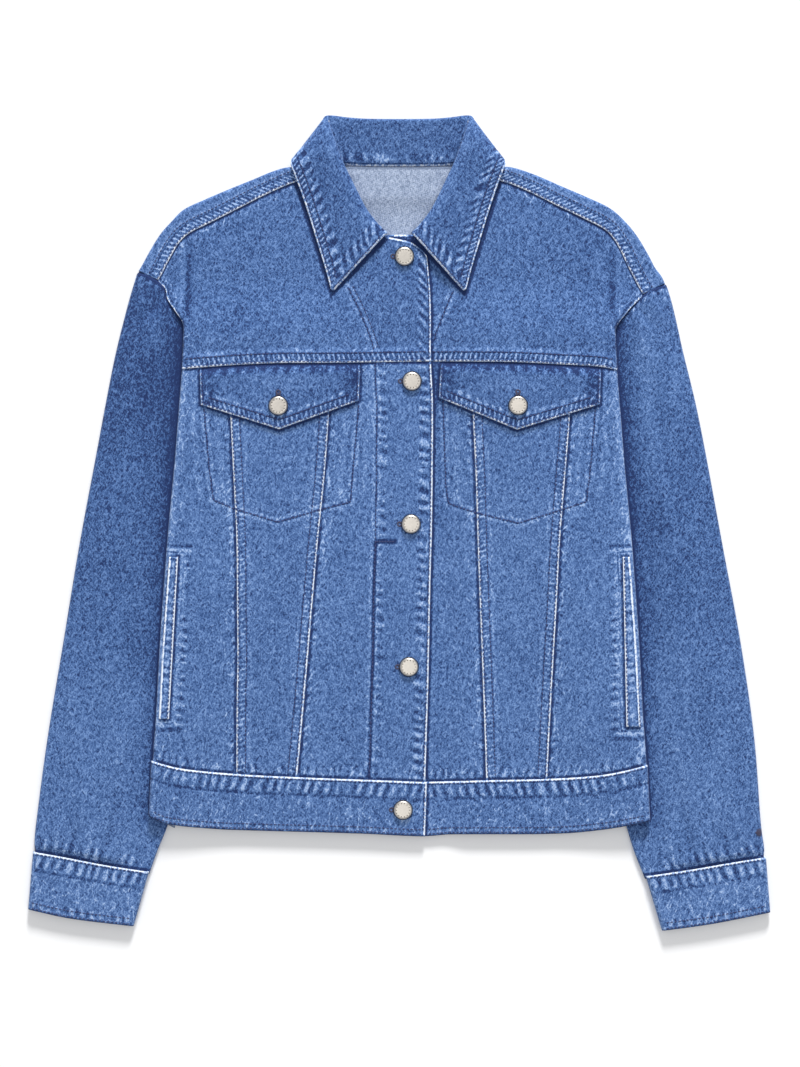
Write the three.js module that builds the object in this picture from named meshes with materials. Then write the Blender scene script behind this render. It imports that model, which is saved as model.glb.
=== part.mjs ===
// A denim jacket laid flat on its back, in millimetres: +X to the viewer's right, +Y to the collar, +Z up.
// Names end in _r or _l for the wearer's right and left; the wearer's right side has negative x.
import * as THREE from "three";

// Cloth and making sizes
const CLOTH = 1.6;
const BAND_CLOTH = 2.2;
const COLLAR_CLOTH = 1.8;
const SEAM_GAP = 0.3;
const LAP_RAISE = 0.8;
const LAP_WIDTH = 10;
const SIDE_RETURN = 20;
const SLEEVE_RETURN = 12;

// Heights of the layers above the surface that the jacket lies on
const FRONT_HEIGHT = 6.6;
const SLEEVE_PRESSED = 4.8;
const SLEEVE_EDGE = 7;
const SLEEVE_PUFF = 2;
const BACK_OVER_SLEEVE = 5.2;
const UNDER_FRONT_DROP = 2.2;
const CUFF_HEIGHT = 8;

// Buttons
const BUTTON_RADIUS = 8.5;
const BUTTON_HEIGHT = 3.2;

// Room left under a piece that lies on a curved panel
const CLEAR = 0.4;

// Rows with named columns become one list for each column.
function table(columns, rows) {
  const lists = {};
  columns.forEach((name, i) => (lists[name] = rows.map((row) => row[i])));
  return lists;
}

// A straight-line reading of one list against another, carried on past both ends.
function reading(from, to) {
  const rising = from[0] < from[from.length - 1];
  const keys = rising ? from : [...from].reverse();
  const values = rising ? to : [...to].reverse();
  return (at) => {
    let i = 1;
    while (i < keys.length - 1 && at > keys[i]) i += 1;
    const share = (at - keys[i - 1]) / (keys[i] - keys[i - 1]);
    return values[i - 1] + share * (values[i] - values[i - 1]);
  };
}

// The same reading, smoothed through the rows.
function smoothReading(from, to) {
  const rising = from[0] < from[from.length - 1];
  const keys = rising ? from : [...from].reverse();
  const values = rising ? to : [...to].reverse();
  const last = keys.length - 1;
  const slope = (i) => {
    const low = Math.max(i - 1, 0);
    const high = Math.min(i + 1, last);
    return (values[high] - values[low]) / (keys[high] - keys[low]);
  };
  return (at) => {
    if (at <= keys[0]) return values[0] + slope(0) * (at - keys[0]);
    if (at >= keys[last]) return values[last] + slope(last) * (at - keys[last]);
    let i = 1;
    while (at > keys[i]) i += 1;
    const step = keys[i] - keys[i - 1];
    const t = (at - keys[i - 1]) / step;
    const start = values[i - 1] * (1 + 2 * t) * (1 - t) ** 2;
    const end = values[i] * t * t * (3 - 2 * t);
    const bendIn = slope(i - 1) * step * t * (1 - t) ** 2;
    const bendOut = slope(i) * step * t * t * (t - 1);
    return start + end + bendIn + bendOut;
  };
}

const lerp = (a, b, t) => a + (b - a) * t;
const ease = (t) => {
  const c = Math.min(Math.max(t, 0), 1);
  return c * c * (3 - 2 * c);
};

function spaced(start, end, count) {
  return Array.from({ length: count + 1 }, (_, i) => lerp(start, end, i / count));
}

// Outlines, from the collar down. Each side has its own column, as the two sides differ a little.
const BODY_SIDE = table(
  ["y", "half"],
  [
    [200, 199],
    [177, 199.2],
    [140, 200.8],
    [103, 203.8],
    [52, 207.9],
    [-16, 214.4],
    [-108, 221.3],
    [-182, 225.4],
    [-221, 228.4],
    [-272, 230.9],
  ],
);
const SLEEVE_EDGES = table(
  ["y", "outer_r", "inner_r", "outer_l", "inner_l"],
  [
    [230, -241, -52, 241.5, 52],
    [201, -249.8, -61, 250.7, 61],
    [157, -260.8, -75, 260.8, 74],
    [112, -270, -89, 272, 88],
    [68, -278.3, -103, 281.1, 102],
    [-20, -294.9, -132, 297.6, 130],
    [-108, -309.6, -160, 314.2, 158],
    [-196, -324.3, -188, 327.1, 185],
    [-278, -335.4, -214.5, 333.8, 211],
    [-300, -337, -223.5, 336.8, 218],
    [-321, -338.5, -231, 338.3, 226.5],
  ],
);
const ARMHOLE_R = table(
  ["x", "y"],
  [
    [-241, 230],
    [-231.7, 227.7],
    [-222.3, 222.2],
    [-216.5, 217],
    [-213.9, 206.5],
    [-207.5, 197],
    [-200.1, 186.3],
    [-180, 178],
    [-140, 168],
    [-106, 160],
    [-76, 154],
  ],
);
const ARMHOLE_L = table(
  ["x", "y"],
  [
    [245.2, 219],
    [231.8, 214.5],
    [224, 209.5],
    [217, 202.7],
    [210.7, 196.6],
    [200.1, 183.3],
    [180, 177],
    [140, 168],
    [106, 160],
    [76, 154],
  ],
);

// Shoulder stations: where a line across the back yoke starts, where it turns over the shoulder,
// and where it ends at the front shoulder seam.
const SHOULDER_R = table(
  ["startX", "foldX", "foldY", "seamX", "seamY"],
  [
    [-236, -240.7, 231.9, -222.3, 223.6],
    [-231.7, -236, 240, -219, 229],
    [-222.3, -230, 251, -214, 239],
    [-216.5, -221, 265.5, -208, 250],
    [-213.9, -211, 277, -202.5, 258.5],
    [-207.5, -199, 288.7, -193, 267],
    [-200.1, -180, 297.8, -176, 275.5],
    [-180, -156, 308, -153, 287],
    [-160, -135, 316.5, -132, 297.8],
    [-140, -118, 323.6, -116, 305.5],
    [-120, -103, 327.5, -102, 311.5],
    [-106, -91, 327, -90, 315.5],
  ],
);
const SHOULDER_L = table(
  ["startX", "foldX", "foldY", "seamX", "seamY"],
  [
    [240, 244.9, 220.5, 224, 210.6],
    [231.8, 241.5, 227.5, 219.5, 218.5],
    [224, 235.5, 235.5, 215, 227.5],
    [217, 229.5, 247, 209.5, 238],
    [210.7, 219, 264.5, 204, 250],
    [200.1, 207.5, 278.3, 197.5, 261],
    [190, 194, 290, 189, 270],
    [180, 174, 299.7, 169, 280.5],
    [160, 150, 310, 146, 291.5],
    [140, 124, 321.2, 121, 304],
    [120, 103, 327.5, 102, 312],
    [106, 91, 327, 90, 315.5],
  ],
);
// The neck edge of the back yoke, from the shoulder turn to the middle.
const BACK_NECK = table(
  ["startX", "neckX", "neckY"],
  [
    [88, 76, 325],
    [74, 61, 327],
    [52, 44, 328.2],
    [32, 27, 327.7],
    [14, 11, 327.6],
  ],
);
// The front neckline, hidden under the collar, from the shoulder to the front edge.
const FRONT_NECK_R = table(
  ["x", "y"],
  [
    [-89, 317.5],
    [-82, 301],
    [-68, 284],
    [-46, 271],
    [-24, 266],
    [-6.3, 262.1],
    [5, 259.9],
    [16.6, 254.4],
    [25.5, 245.2],
  ],
);
const FRONT_NECK_L = table(
  ["x", "y"],
  [
    [89, 317.5],
    [82, 301],
    [68, 284],
    [46, 271],
    [24, 266],
    [8, 265.4],
    [-8, 265.4],
    [-21, 264],
  ],
);
const YOKE_SEAM = table(
  ["x", "y"],
  [
    [-201, 141],
    [-154, 144.6],
    [-112, 146.5],
    [-70, 146.8],
    [29, 148.4],
    [70, 148],
    [109, 147.3],
    [147, 145.4],
    [184, 143.2],
    [201, 140],
  ],
);
const FRONT_EDGE = table(
  ["y", "x"],
  [
    [245.2, 25.5],
    [205, 28.7],
    [148.4, 29],
    [109, 30.8],
    [-3, 29.9],
    [-61, 28.3],
    [-149, 26.5],
    [-239, 23.6],
  ],
);
const PANEL_SEAMS = table(
  ["y", "outer_r", "inner_r", "inner_l", "outer_l"],
  [
    [148, -157, -61.5, 66, 159],
    [99, -155.7, -64.7, 67.3, 156.9],
    [41, -152.8, -69.1, 70, 152.3],
    [-16, -150.1, -75, 71.8, 147.7],
    [-77, -149.6, -80.5, 74, 144.5],
    [-125, -149.3, -84.6, 75.9, 141.7],
    [-172, -150.1, -88.8, 77.7, 139.1],
    [-234, -150.4, -94.6, 79.8, 136],
  ],
);
const WAIST_SEAM = table(
  ["x", "y"],
  [
    [-228.7, -218.9],
    [-200.1, -226.2],
    [-146.7, -231.7],
    [-93.8, -234.5],
    [-6.3, -237.8],
    [25.3, -238.9],
    [79, -237.4],
    [137.5, -236],
    [179.9, -233],
    [205.6, -228.6],
    [228.3, -222.7],
  ],
);
const HEM = table(
  ["x", "y"],
  [
    [-231, -270],
    [-213, -277.4],
    [-167.9, -282.4],
    [-146.7, -283.4],
    [-36.3, -286.6],
    [23.5, -289.2],
    [48.3, -287.5],
    [147.7, -286.6],
    [192.7, -282],
    [231, -274.6],
  ],
);
const CUFF_SEAM_R = table(
  ["x", "y"],
  [
    [-338, -303],
    [-311, -307.7],
    [-269, -315.7],
    [-231, -321.5],
  ],
);
const CUFF_SEAM_L = table(
  ["x", "y"],
  [
    [338, -308],
    [302.6, -313.6],
    [267.3, -319.7],
    [227, -325.6],
  ],
);
const CUFF_HEM_R = table(
  ["x", "y"],
  [
    [-342.5, -356.5],
    [-304, -364.8],
    [-245.2, -372.1],
  ],
);
const CUFF_HEM_L = table(
  ["x", "y"],
  [
    [342, -359.3],
    [288, -369.9],
    [242.1, -376.3],
  ],
);
const FLAPS = table(
  ["side", "topOuterX", "topInnerX", "bottomOuterX", "bottomInnerX", "outerY", "pointX", "pointY", "innerY"],
  [
    ["r", -183.8, -36, -182.4, -37.4, 108.1, -110.6, 85.6, 112.2],
    ["l", 185.4, 38.2, 184.1, 36.2, 108.6, 107.9, 85.3, 115],
  ],
);
const WELTS = table(
  ["side", "topY", "bottomY", "topOuter", "bottomOuter", "topInner", "bottomInner"],
  [
    ["r", -31.6, -180.6, 213.1, 224, 203.4, 211.8],
    ["l", -31.6, -187.8, 216.1, 222.5, 205.1, 208.4],
  ],
);
const BUTTON_PLACES = table(
  ["name", "x", "y"],
  [
    ["front_button_1", 4.6, 245.2],
    ["front_button_2", 11.5, 130.2],
    ["front_button_3", 10.6, -1.4],
    ["front_button_4", 8.7, -132.9],
    ["front_button_5", 3.2, -264.5],
    ["flap_button_r", -111.3, 107.2],
    ["flap_button_l", 108.8, 107.5],
  ],
);
// Soft folds of the front: a long trough or ridge with its middle, length, width, depth and lean.
const FOLDS = table(
  ["x", "y", "length", "width", "rise", "lean"],
  [
    [-212, 215, 60, 12, -1.2, 0.1],
    [210, 205, 60, 12, -1.2, -0.1],
    [-120, 215, 70, 26, 0.7, 0.5],
    [125, 210, 80, 26, 0.7, -0.5],
    [-185, 60, 80, 16, 0.6, 0.1],
    [182, 20, 90, 16, 0.6, -0.1],
    [-120, -70, 120, 30, 0.6, 0],
    [108, -90, 120, 30, 0.6, 0],
    [-30, -120, 110, 20, 0.5, 0.05],
    [52, -60, 120, 16, -0.4, 0],
  ],
);
// Sleeve folds, in the same columns.
const SLEEVE_FOLDS = table(
  ["x", "y", "length", "width", "rise", "lean"],
  [
    [-262, 60, 120, 14, 0.9, 0.15],
    [-285, -120, 130, 14, 0.9, 0.15],
    [-300, -210, 70, 10, 0.8, 0.1],
    [-245, -60, 90, 10, 0.6, 0.1],
    [262, 70, 130, 14, 0.9, -0.15],
    [287, -110, 140, 14, 0.9, -0.15],
    [300, -220, 70, 10, 0.8, -0.1],
    [247, -60, 90, 10, 0.6, -0.1],
  ],
);

// Curves read from the tables
const sideHalf = smoothReading(BODY_SIDE.y, BODY_SIDE.half);
const yokeSeam = smoothReading(YOKE_SEAM.x, YOKE_SEAM.y);
const waistSeam = smoothReading(WAIST_SEAM.x, WAIST_SEAM.y);
const hem = smoothReading(HEM.x, HEM.y);
const frontEdge = smoothReading(FRONT_EDGE.y, FRONT_EDGE.x);
const sleeveEdge = (column) => smoothReading(SLEEVE_EDGES.y, SLEEVE_EDGES[column]);
const panelSeam = (column) => smoothReading(PANEL_SEAMS.y, PANEL_SEAMS[column]);

// Side by side settings: sign is -1 on the wearer's right.
const SIDES = {
  r: {
    sign: -1,
    armhole: ARMHOLE_R,
    shoulder: SHOULDER_R,
    neck: FRONT_NECK_R,
    cuffSeam: CUFF_SEAM_R,
    cuffHem: CUFF_HEM_R,
  },
  l: {
    sign: 1,
    armhole: ARMHOLE_L,
    shoulder: SHOULDER_L,
    neck: FRONT_NECK_L,
    cuffSeam: CUFF_SEAM_L,
    cuffHem: CUFF_HEM_L,
  },
};
for (const [name, side] of Object.entries(SIDES)) {
  side.outer = sleeveEdge("outer_" + name);
  side.inner = sleeveEdge("inner_" + name);
  side.outerSeam = panelSeam("outer_" + name);
  side.innerSeam = panelSeam("inner_" + name);
  side.armholeY = reading(side.armhole.x, side.armhole.y);
}
const sideAt = (x) => (x < 0 ? SIDES.r : SIDES.l);

// Height of the underside of the body's back layer, which climbs over the sleeves.
function backLift(x, y) {
  const sleeveInner = Math.abs(sideAt(x).inner(Math.min(y, 160)));
  return BACK_OVER_SLEEVE * ease((Math.abs(x) - sleeveInner + 44) / 30);
}

// Height that the front gains over the sleeves, spread wider than the back's.
function frontLift(x, y) {
  const sleeveInner = Math.abs(sideAt(x).inner(Math.min(y, 160)));
  const across = ease((Math.abs(x) - sleeveInner + 75) / 100);
  const down = ease((228 - y) / 62);
  return BACK_OVER_SLEEVE * across * down;
}

function foldsAt(folds, x, y) {
  let rise = 0;
  folds.x.forEach((middle, i) => {
    const along = (y - folds.y[i]) / folds.length[i];
    const across = (x - middle - folds.lean[i] * (y - folds.y[i])) / folds.width[i];
    rise += folds.rise[i] * Math.exp(-along * along - across * across);
  });
  return rise;
}

function frontTop(x, y) {
  return FRONT_HEIGHT + frontLift(x, y) + foldsAt(FOLDS, x, y);
}

// The wearer's left front lies lower where the right front buttons over it.
function leftFrontTop(x, y) {
  return frontTop(x, y) - UNDER_FRONT_DROP * ease((66 - x) / 28);
}

function sleeveTop(side, x, y) {
  const bodyEdge = sideHalf(y);
  const outerEdge = Math.abs(side.outer(y));
  const out = Math.abs(x) - bodyEdge;
  const free = ease((out - 2) / 36);
  const across = Math.min(Math.max(out / (outerEdge - bodyEdge), 0), 1);
  const puff = SLEEVE_PUFF * Math.sin(Math.PI * across) * free;
  const folds = foldsAt(SLEEVE_FOLDS, x, y) * Math.sin(Math.PI * across) * free;
  return lerp(SLEEVE_PRESSED, SLEEVE_EDGE, free) + puff + folds;
}

// Edges of a patch, each a function of 0 to 1 that gives x and y.
const downY = (curve, y0, y1, shift = 0) => (t) => {
  const y = lerp(y0, y1, t);
  return [curve(y) + shift, y];
};
const acrossX = (curve, x0, x1, shift = 0) => (t) => {
  const x = lerp(x0, x1, t);
  return [x, curve(x) + shift];
};
// An edge through chosen x places, spread evenly in number.
const throughX = (curve, places, shift = 0) => (t) => {
  const at = t * (places.length - 1);
  const i = Math.min(Math.floor(at), places.length - 2);
  const x = lerp(places[i], places[i + 1], at - i);
  return [x, curve(x) + shift];
};

// The ends of an edge are moved onto the corners that its neighbours give.
function fixedEnds(edge, first, last) {
  const start = edge(0);
  const end = edge(1);
  return (t) => edge(t).map((at, k) => at + lerp(first[k] - start[k], last[k] - end[k], t));
}

// A point inside four edges, blended so that each edge is met exactly.
function patch(given) {
  const edges = {
    top: given.top,
    bottom: given.bottom,
    left: fixedEnds(given.left, given.top(0), given.bottom(0)),
    right: fixedEnds(given.right, given.top(1), given.bottom(1)),
  };
  const corner = {
    a: edges.top(0),
    b: edges.top(1),
    c: edges.bottom(0),
    d: edges.bottom(1),
  };
  return (u, v) => {
    const top = edges.top(u);
    const bottom = edges.bottom(u);
    const left = edges.left(v);
    const right = edges.right(v);
    return [0, 1].map((k) => {
      const rows = lerp(top[k], bottom[k], v);
      const columns = lerp(left[k], right[k], u);
      const upper = lerp(corner.a[k], corner.b[k], u);
      const lower = lerp(corner.c[k], corner.d[k], u);
      return rows + columns - lerp(upper, lower, v);
    });
  };
}

// A rolled edge: from the last point of the flat cloth, past it by angle, then back beneath.
// s runs from 0 at the flat cloth to 1 at the end of the turn and on to 2 at the end of the return.
function rolled(start, outward, s, roll) {
  const angle = Math.min(s, 1) * roll.angle;
  const back = Math.max(s - 1, 0) * (roll.run || 0);
  const across = outward * (roll.radius * Math.sin(angle) - back);
  const drop = roll.radius * (1 - Math.cos(angle));
  return new THREE.Vector3(start.x + across, start.y + across * (roll.slope || 0), start.z - drop);
}

// How steeply y changes with x along a row of a patch, at its first or last point.
function endSlope(inside, u, v) {
  const near = u === 0 ? 0.02 : 0.98;
  const [x0, y0] = inside(u, v);
  const [x1, y1] = inside(near, v);
  return (y1 - y0) / (x1 - x0);
}

// A closed wall from an outer surface, a point for each s and v, and a thickness.
function wall(outer, ss, vs, thickness = CLOTH, facing = 1) {
  const step = 1e-3;
  const rows = vs.length;
  const columns = ss.length;
  const positions = [];
  const point = new THREE.Vector3();
  const inner = [];
  for (const v of vs) {
    for (const s of ss) {
      point.copy(outer(s, v));
      const s1 = outer(Math.min(s + step, ss[columns - 1]), v);
      const s0 = outer(Math.max(s - step, ss[0]), v);
      const v1 = outer(s, Math.min(v + step, vs[rows - 1]));
      const v0 = outer(s, Math.max(v - step, vs[0]));
      const normal = s1.sub(s0).cross(v0.sub(v1)).setLength(facing);
      positions.push(point.x, point.y, point.z);
      const depth = typeof thickness === "function" ? thickness(s, v) : thickness;
      inner.push(point.x - normal.x * depth, point.y - normal.y * depth, point.z - normal.z * depth);
    }
  }
  positions.push(...inner);
  const count = rows * columns;
  const faces = [];
  const quad = (a, b, c, d) => faces.push(a, b, c, a, c, d);
  const at = (i, j) => j * columns + i;
  for (let j = 0; j < rows - 1; j += 1) {
    for (let i = 0; i < columns - 1; i += 1) {
      quad(at(i, j), at(i, j + 1), at(i + 1, j + 1), at(i + 1, j));
      quad(count + at(i, j), count + at(i + 1, j), count + at(i + 1, j + 1), count + at(i, j + 1));
    }
  }
  const rim = [];
  for (let i = 0; i < columns - 1; i += 1) rim.push(at(i, 0));
  for (let j = 0; j < rows - 1; j += 1) rim.push(at(columns - 1, j));
  for (let i = columns - 1; i > 0; i -= 1) rim.push(at(i, rows - 1));
  for (let j = rows - 1; j > 0; j -= 1) rim.push(at(0, j));
  rim.forEach((from, i) => {
    const to = rim[(i + 1) % rim.length];
    quad(from, to, count + to, count + from);
  });
  return facingOut(positions, faces);
}

// A closed ring wall: the section loops round on itself, and thickness is set to the inside.
function ringWall(outer, inner, columns, vs) {
  const rows = vs.length;
  const positions = [];
  for (const surface of [outer, inner]) {
    for (const v of vs) {
      for (let i = 0; i < columns; i += 1) positions.push(...surface(i / columns, v).toArray());
    }
  }
  const count = rows * columns;
  const faces = [];
  const quad = (a, b, c, d) => faces.push(a, b, c, a, c, d);
  const at = (i, j) => j * columns + (i % columns);
  for (let j = 0; j < rows - 1; j += 1) {
    for (let i = 0; i < columns; i += 1) {
      quad(at(i, j), at(i, j + 1), at(i + 1, j + 1), at(i + 1, j));
      quad(count + at(i, j), count + at(i + 1, j), count + at(i + 1, j + 1), count + at(i, j + 1));
    }
  }
  for (let i = 0; i < columns; i += 1) {
    quad(at(i, 0), at(i + 1, 0), count + at(i + 1, 0), count + at(i, 0));
    const last = rows - 1;
    quad(at(i + 1, last), at(i, last), count + at(i, last), count + at(i + 1, last));
  }
  return facingOut(positions, faces);
}

// The faces are turned round where the solid would be inside out.
function facingOut(positions, faces) {
  let volume = 0;
  const corner = (i) => new THREE.Vector3().fromArray(positions, 3 * i);
  for (let i = 0; i < faces.length; i += 3) {
    volume += corner(faces[i]).dot(corner(faces[i + 1]).cross(corner(faces[i + 2])));
  }
  if (volume < 0) faces.reverse();
  const geometry = new THREE.BufferGeometry();
  geometry.setAttribute("position", new THREE.Float32BufferAttribute(positions, 3));
  geometry.setIndex(faces);
  geometry.computeVertexNormals();
  return geometry;
}

// Materials
const denim = new THREE.MeshStandardMaterial({ color: 0x5580bf, roughness: 0.9, metalness: 0 });
const denimInside = new THREE.MeshStandardMaterial({ color: 0xa9bcd6, roughness: 0.95, metalness: 0 });
const metal = new THREE.MeshStandardMaterial({ color: 0xb9b2a6, roughness: 0.35, metalness: 1 });

const jacket = new THREE.Group();
function add(name, geometry, material = denim) {
  const mesh = new THREE.Mesh(geometry, material);
  mesh.name = name;
  jacket.add(mesh);
}

// Front panels run from the side, at u = 0, to the centre, at u = 1, and from the collar end downwards.
const half = SEAM_GAP / 2;
const PANEL_ROWS = [0, 0.02, ...spaced(0.08, 1, 15)];

function frontPanel(name, side, edges, columns, options = {}) {
  const inside = patch(edges);
  const top = side.sign < 0 ? frontTop : leftFrontTop;
  const raise = options.raise || (() => 0);
  const { roll } = options;
  const surface = (s, v) => {
    const u = Math.max(s, 0);
    const [x, y] = inside(u, v);
    const start = new THREE.Vector3(x, y, top(x, y) + raise(u, v, x));
    if (s >= 0) return start;
    return rolled(start, side.sign, -s, { slope: endSlope(inside, 0, v), ...roll(start) });
  };
  const thickness = (s, v) => (s < 0 ? CLOTH : CLOTH + raise(s, v, inside(s, v)[0]));
  add(name, wall(surface, columns, options.rows || PANEL_ROWS, thickness, -side.sign));
}

// The four edges of a lower panel between two lengthwise seams, with half the seam gap at each.
function lowerPanel(outerLine, innerLine, outerShift, innerShift) {
  const outerTop = outerLine(yokeSeam(outerLine(148))) + outerShift;
  const innerTop = innerLine(yokeSeam(innerLine(148))) + innerShift;
  const outerFoot = outerLine(waistSeam(outerLine(-234))) + outerShift;
  const innerFoot = innerLine(waistSeam(innerLine(-234))) + innerShift;
  return {
    top: acrossX(yokeSeam, outerTop, innerTop, -half),
    bottom: acrossX(waistSeam, outerFoot, innerFoot, half),
    left: downY(outerLine, yokeSeam(outerTop) - half, waistSeam(outerFoot) + half, outerShift),
    right: downY(innerLine, yokeSeam(innerTop) - half, waistSeam(innerFoot) + half, innerShift),
  };
}

// How far the front yoke's outer edge rolls down: a little at the armhole, a quarter turn at the side.
function armAngle(y) {
  return lerp(Math.PI / 10, Math.PI / 2, ease((205 - y) / 25));
}

const TURN = [2, 1, 0.8, 0.6, 0.4, 0.2].map((t) => -t);
const HIDDEN_EDGE = 50;
const BAND_RELIEF = 0.5;
const FOLD_INSET = 4;
for (const [name, side] of Object.entries(SIDES)) {
  const { sign, outerSeam, innerSeam } = side;
  const foldLine = (y) => sign * (sideHalf(y) - FOLD_INSET);
  const centreLine = sign < 0 ? frontEdge : (y) => frontEdge(y) - HIDDEN_EDGE;

  // Side front, rolled under at the side fold with a return to the side seam
  frontPanel(
    "side_front_" + name,
    side,
    lowerPanel(foldLine, outerSeam, 0, sign * half),
    [...TURN, ...spaced(0, 1, 3)],
    {
      roll: (p) => ({
        radius: (p.z - backLift(p.x, p.y)) / 2,
        angle: Math.PI,
        run: SIDE_RETURN,
      }),
    },
  );

  // Middle front, its long edges lapped over both neighbours
  const lap = LAP_WIDTH / 75;
  frontPanel(
    "middle_front_" + name,
    side,
    lowerPanel(outerSeam, innerSeam, -sign * half, sign * half),
    [0, ...spaced(lap, 1 - lap, 4), 1],
    { raise: (u) => LAP_RAISE * (1 - ease((Math.min(u, 1 - u) / lap - 0.6) * 2.5)) },
  );

  // Centre front: the right one has the buttoned band, the left one ends hidden beneath it
  frontPanel(
    "centre_front_" + name,
    side,
    lowerPanel(innerSeam, centreLine, -sign * half, 0),
    sign < 0 ? [0, 0.2, 0.4, 0.46, 0.7, 0.96, 1] : [0, 0.2, 0.42, 0.6, 0.8, 1],
    { raise: sign < 0 ? (u) => BAND_RELIEF * ease((u - 0.4) / 0.06) : undefined },
  );

  // Front yoke, from the shoulder and neck to the yoke seam
  const { shoulder, neck, armhole } = side;
  const topX = [...shoulder.seamX, ...neck.x.slice(1)];
  const topY = [...shoulder.seamY, ...neck.y.slice(1)];
  const topCurve = reading(topX, topY);
  const rollRadius = 2.4;
  const edgeX = [];
  const edgeY = [];
  armhole.x.forEach((x, i) => {
    const beyond = Math.abs(x) > Math.abs(topX[0]) + 0.01 || Math.abs(x) < 199.9;
    if (!beyond) {
      edgeX.push(x);
      edgeY.push(armhole.y[i]);
    }
  });
  edgeX.push(sign * sideHalf(172), sign * sideHalf(150));
  edgeY.push(172, 150);
  const armCurve = reading(edgeY, edgeX);
  const armShift = (y) => -sign * (0.3 + rollRadius * Math.sin(armAngle(y)));
  const topPlaces = [topX[0] + armShift(edgeY[0]), ...topX.slice(1)];
  const footY = yokeSeam(sign * 198) + half;
  const footStart = armCurve(footY) + armShift(footY);
  const footEnd = centreLine(yokeSeam(28));
  const shares = topPlaces.map((x) => (x - topPlaces[0]) / (topPlaces[topPlaces.length - 1] - topPlaces[0]));
  const rows = edgeY.slice(1).filter((y) => y > footY + 4);
  const rowShares = rows.map((y) => (edgeY[0] - y) / (edgeY[0] - footY));
  frontPanel(
    "front_yoke_" + name,
    side,
    {
      top: throughX(topCurve, topPlaces, -half - 0.15),
      bottom: throughX(yokeSeam, shares.map((share) => lerp(footStart, footEnd, share)), half),
      left: downY((y) => armCurve(y) + armShift(y), edgeY[0], footY),
      right: downY(centreLine, topY[topY.length - 1] - half, yokeSeam(28) + half),
    },
    [-1, -0.5, ...topPlaces.map((_, i) => i / (topPlaces.length - 1))],
    {
      rows: [0, ...rowShares, 0.96, 1],
      raise: (u, v, x) => LAP_RAISE * ease((v - 0.93) / 0.03) * (sign < 0 ? 1 : ease((x - 33) / 12)),
      roll: (p) => ({ radius: rollRadius, angle: armAngle(p.y) }),
    },
  );
}

// Sleeves: the upper piece rolls round both folds and returns beneath, where the under piece meets it
for (const [name, side] of Object.entries(SIDES)) {
  const { sign, armhole } = side;
  const outerRadius = SLEEVE_EDGE / 2;
  const innerRadius = SLEEVE_PRESSED / 2;
  const cuffSeam = smoothReading(side.cuffSeam.x, side.cuffSeam.y);
  const lastHole = armhole.x.length - 1;
  const places = [...armhole.x];
  places[0] -= sign * outerRadius;
  places[lastHole] += sign * innerRadius;
  const feet = [side.outer(-305) - sign * outerRadius, side.inner(-321) + sign * innerRadius];
  const footPlaces = places.map((x, i) => {
    const share = (x - places[0]) / (places[lastHole] - places[0]);
    return lerp(feet[0], feet[1], lerp(share, i / lastHole, 0.7));
  });
  const inside = patch({
    top: throughX(side.armholeY, places, -SEAM_GAP),
    bottom: throughX(cuffSeam, footPlaces, SEAM_GAP),
    left: downY(side.outer, armhole.y[0], cuffSeam(feet[0]), -sign * outerRadius),
    right: downY(side.inner, armhole.y[lastHole], cuffSeam(feet[1]), sign * innerRadius),
  });
  const returnRun = (y) => lerp(2, SLEEVE_RETURN, ease((222 - y) / 30));
  const surface = (s, v) => {
    const u = Math.min(Math.max(s, 0), 1);
    const [x, y] = inside(u, v);
    const start = new THREE.Vector3(x, y, sleeveTop(side, x, y));
    if (s >= 0 && s <= 1) return start;
    const roll = { radius: start.z / 2, angle: Math.PI, slope: endSlope(inside, u, v) };
    if (s < 0) return rolled(start, sign, -s, { ...roll, run: returnRun(y) });
    return rolled(start, -sign, s - 1, { ...roll, run: SLEEVE_RETURN });
  };
  const columns = places.map((_, i) => i / lastHole);
  const rows = [0, 0.02, 0.05, 0.09, ...spaced(0.14, 1, 14)];
  const turns = [...TURN].reverse().map((t) => 1 - t);
  add("sleeve_upper_" + name, wall(surface, [...TURN, ...columns, ...turns], rows, CLOTH, -sign));

  // Under piece, flat on the surface between the two returns
  const underEdge = (u, run) => (v) => {
    const [x, y] = inside(u, v);
    const shift = run(y) + SEAM_GAP;
    const across = u === 0 ? -sign * shift : sign * shift;
    return [x + across, y + across * endSlope(inside, u, v)];
  };
  const left = underEdge(0, returnRun);
  const right = underEdge(1, () => SLEEVE_RETURN);
  const underPlaces = [left(0)[0], ...places.slice(1, -1).filter((x) => Math.abs(x) < 232), right(0)[0]];
  const underFeet = underPlaces.map((x) => {
    const share = (x - underPlaces[0]) / (right(0)[0] - underPlaces[0]);
    return lerp(left(1)[0], right(1)[0], share);
  });
  const flat = patch({
    top: throughX(side.armholeY, underPlaces, -SEAM_GAP),
    bottom: throughX(cuffSeam, underFeet, SEAM_GAP),
    left,
    right,
  });
  const under = (s, v) => new THREE.Vector3(...flat(s, v), CLOTH);
  const underColumns = underPlaces.map((_, i) => i / (underPlaces.length - 1));
  add("sleeve_under_" + name, wall(under, underColumns, rows, CLOTH, -sign));
}

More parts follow.
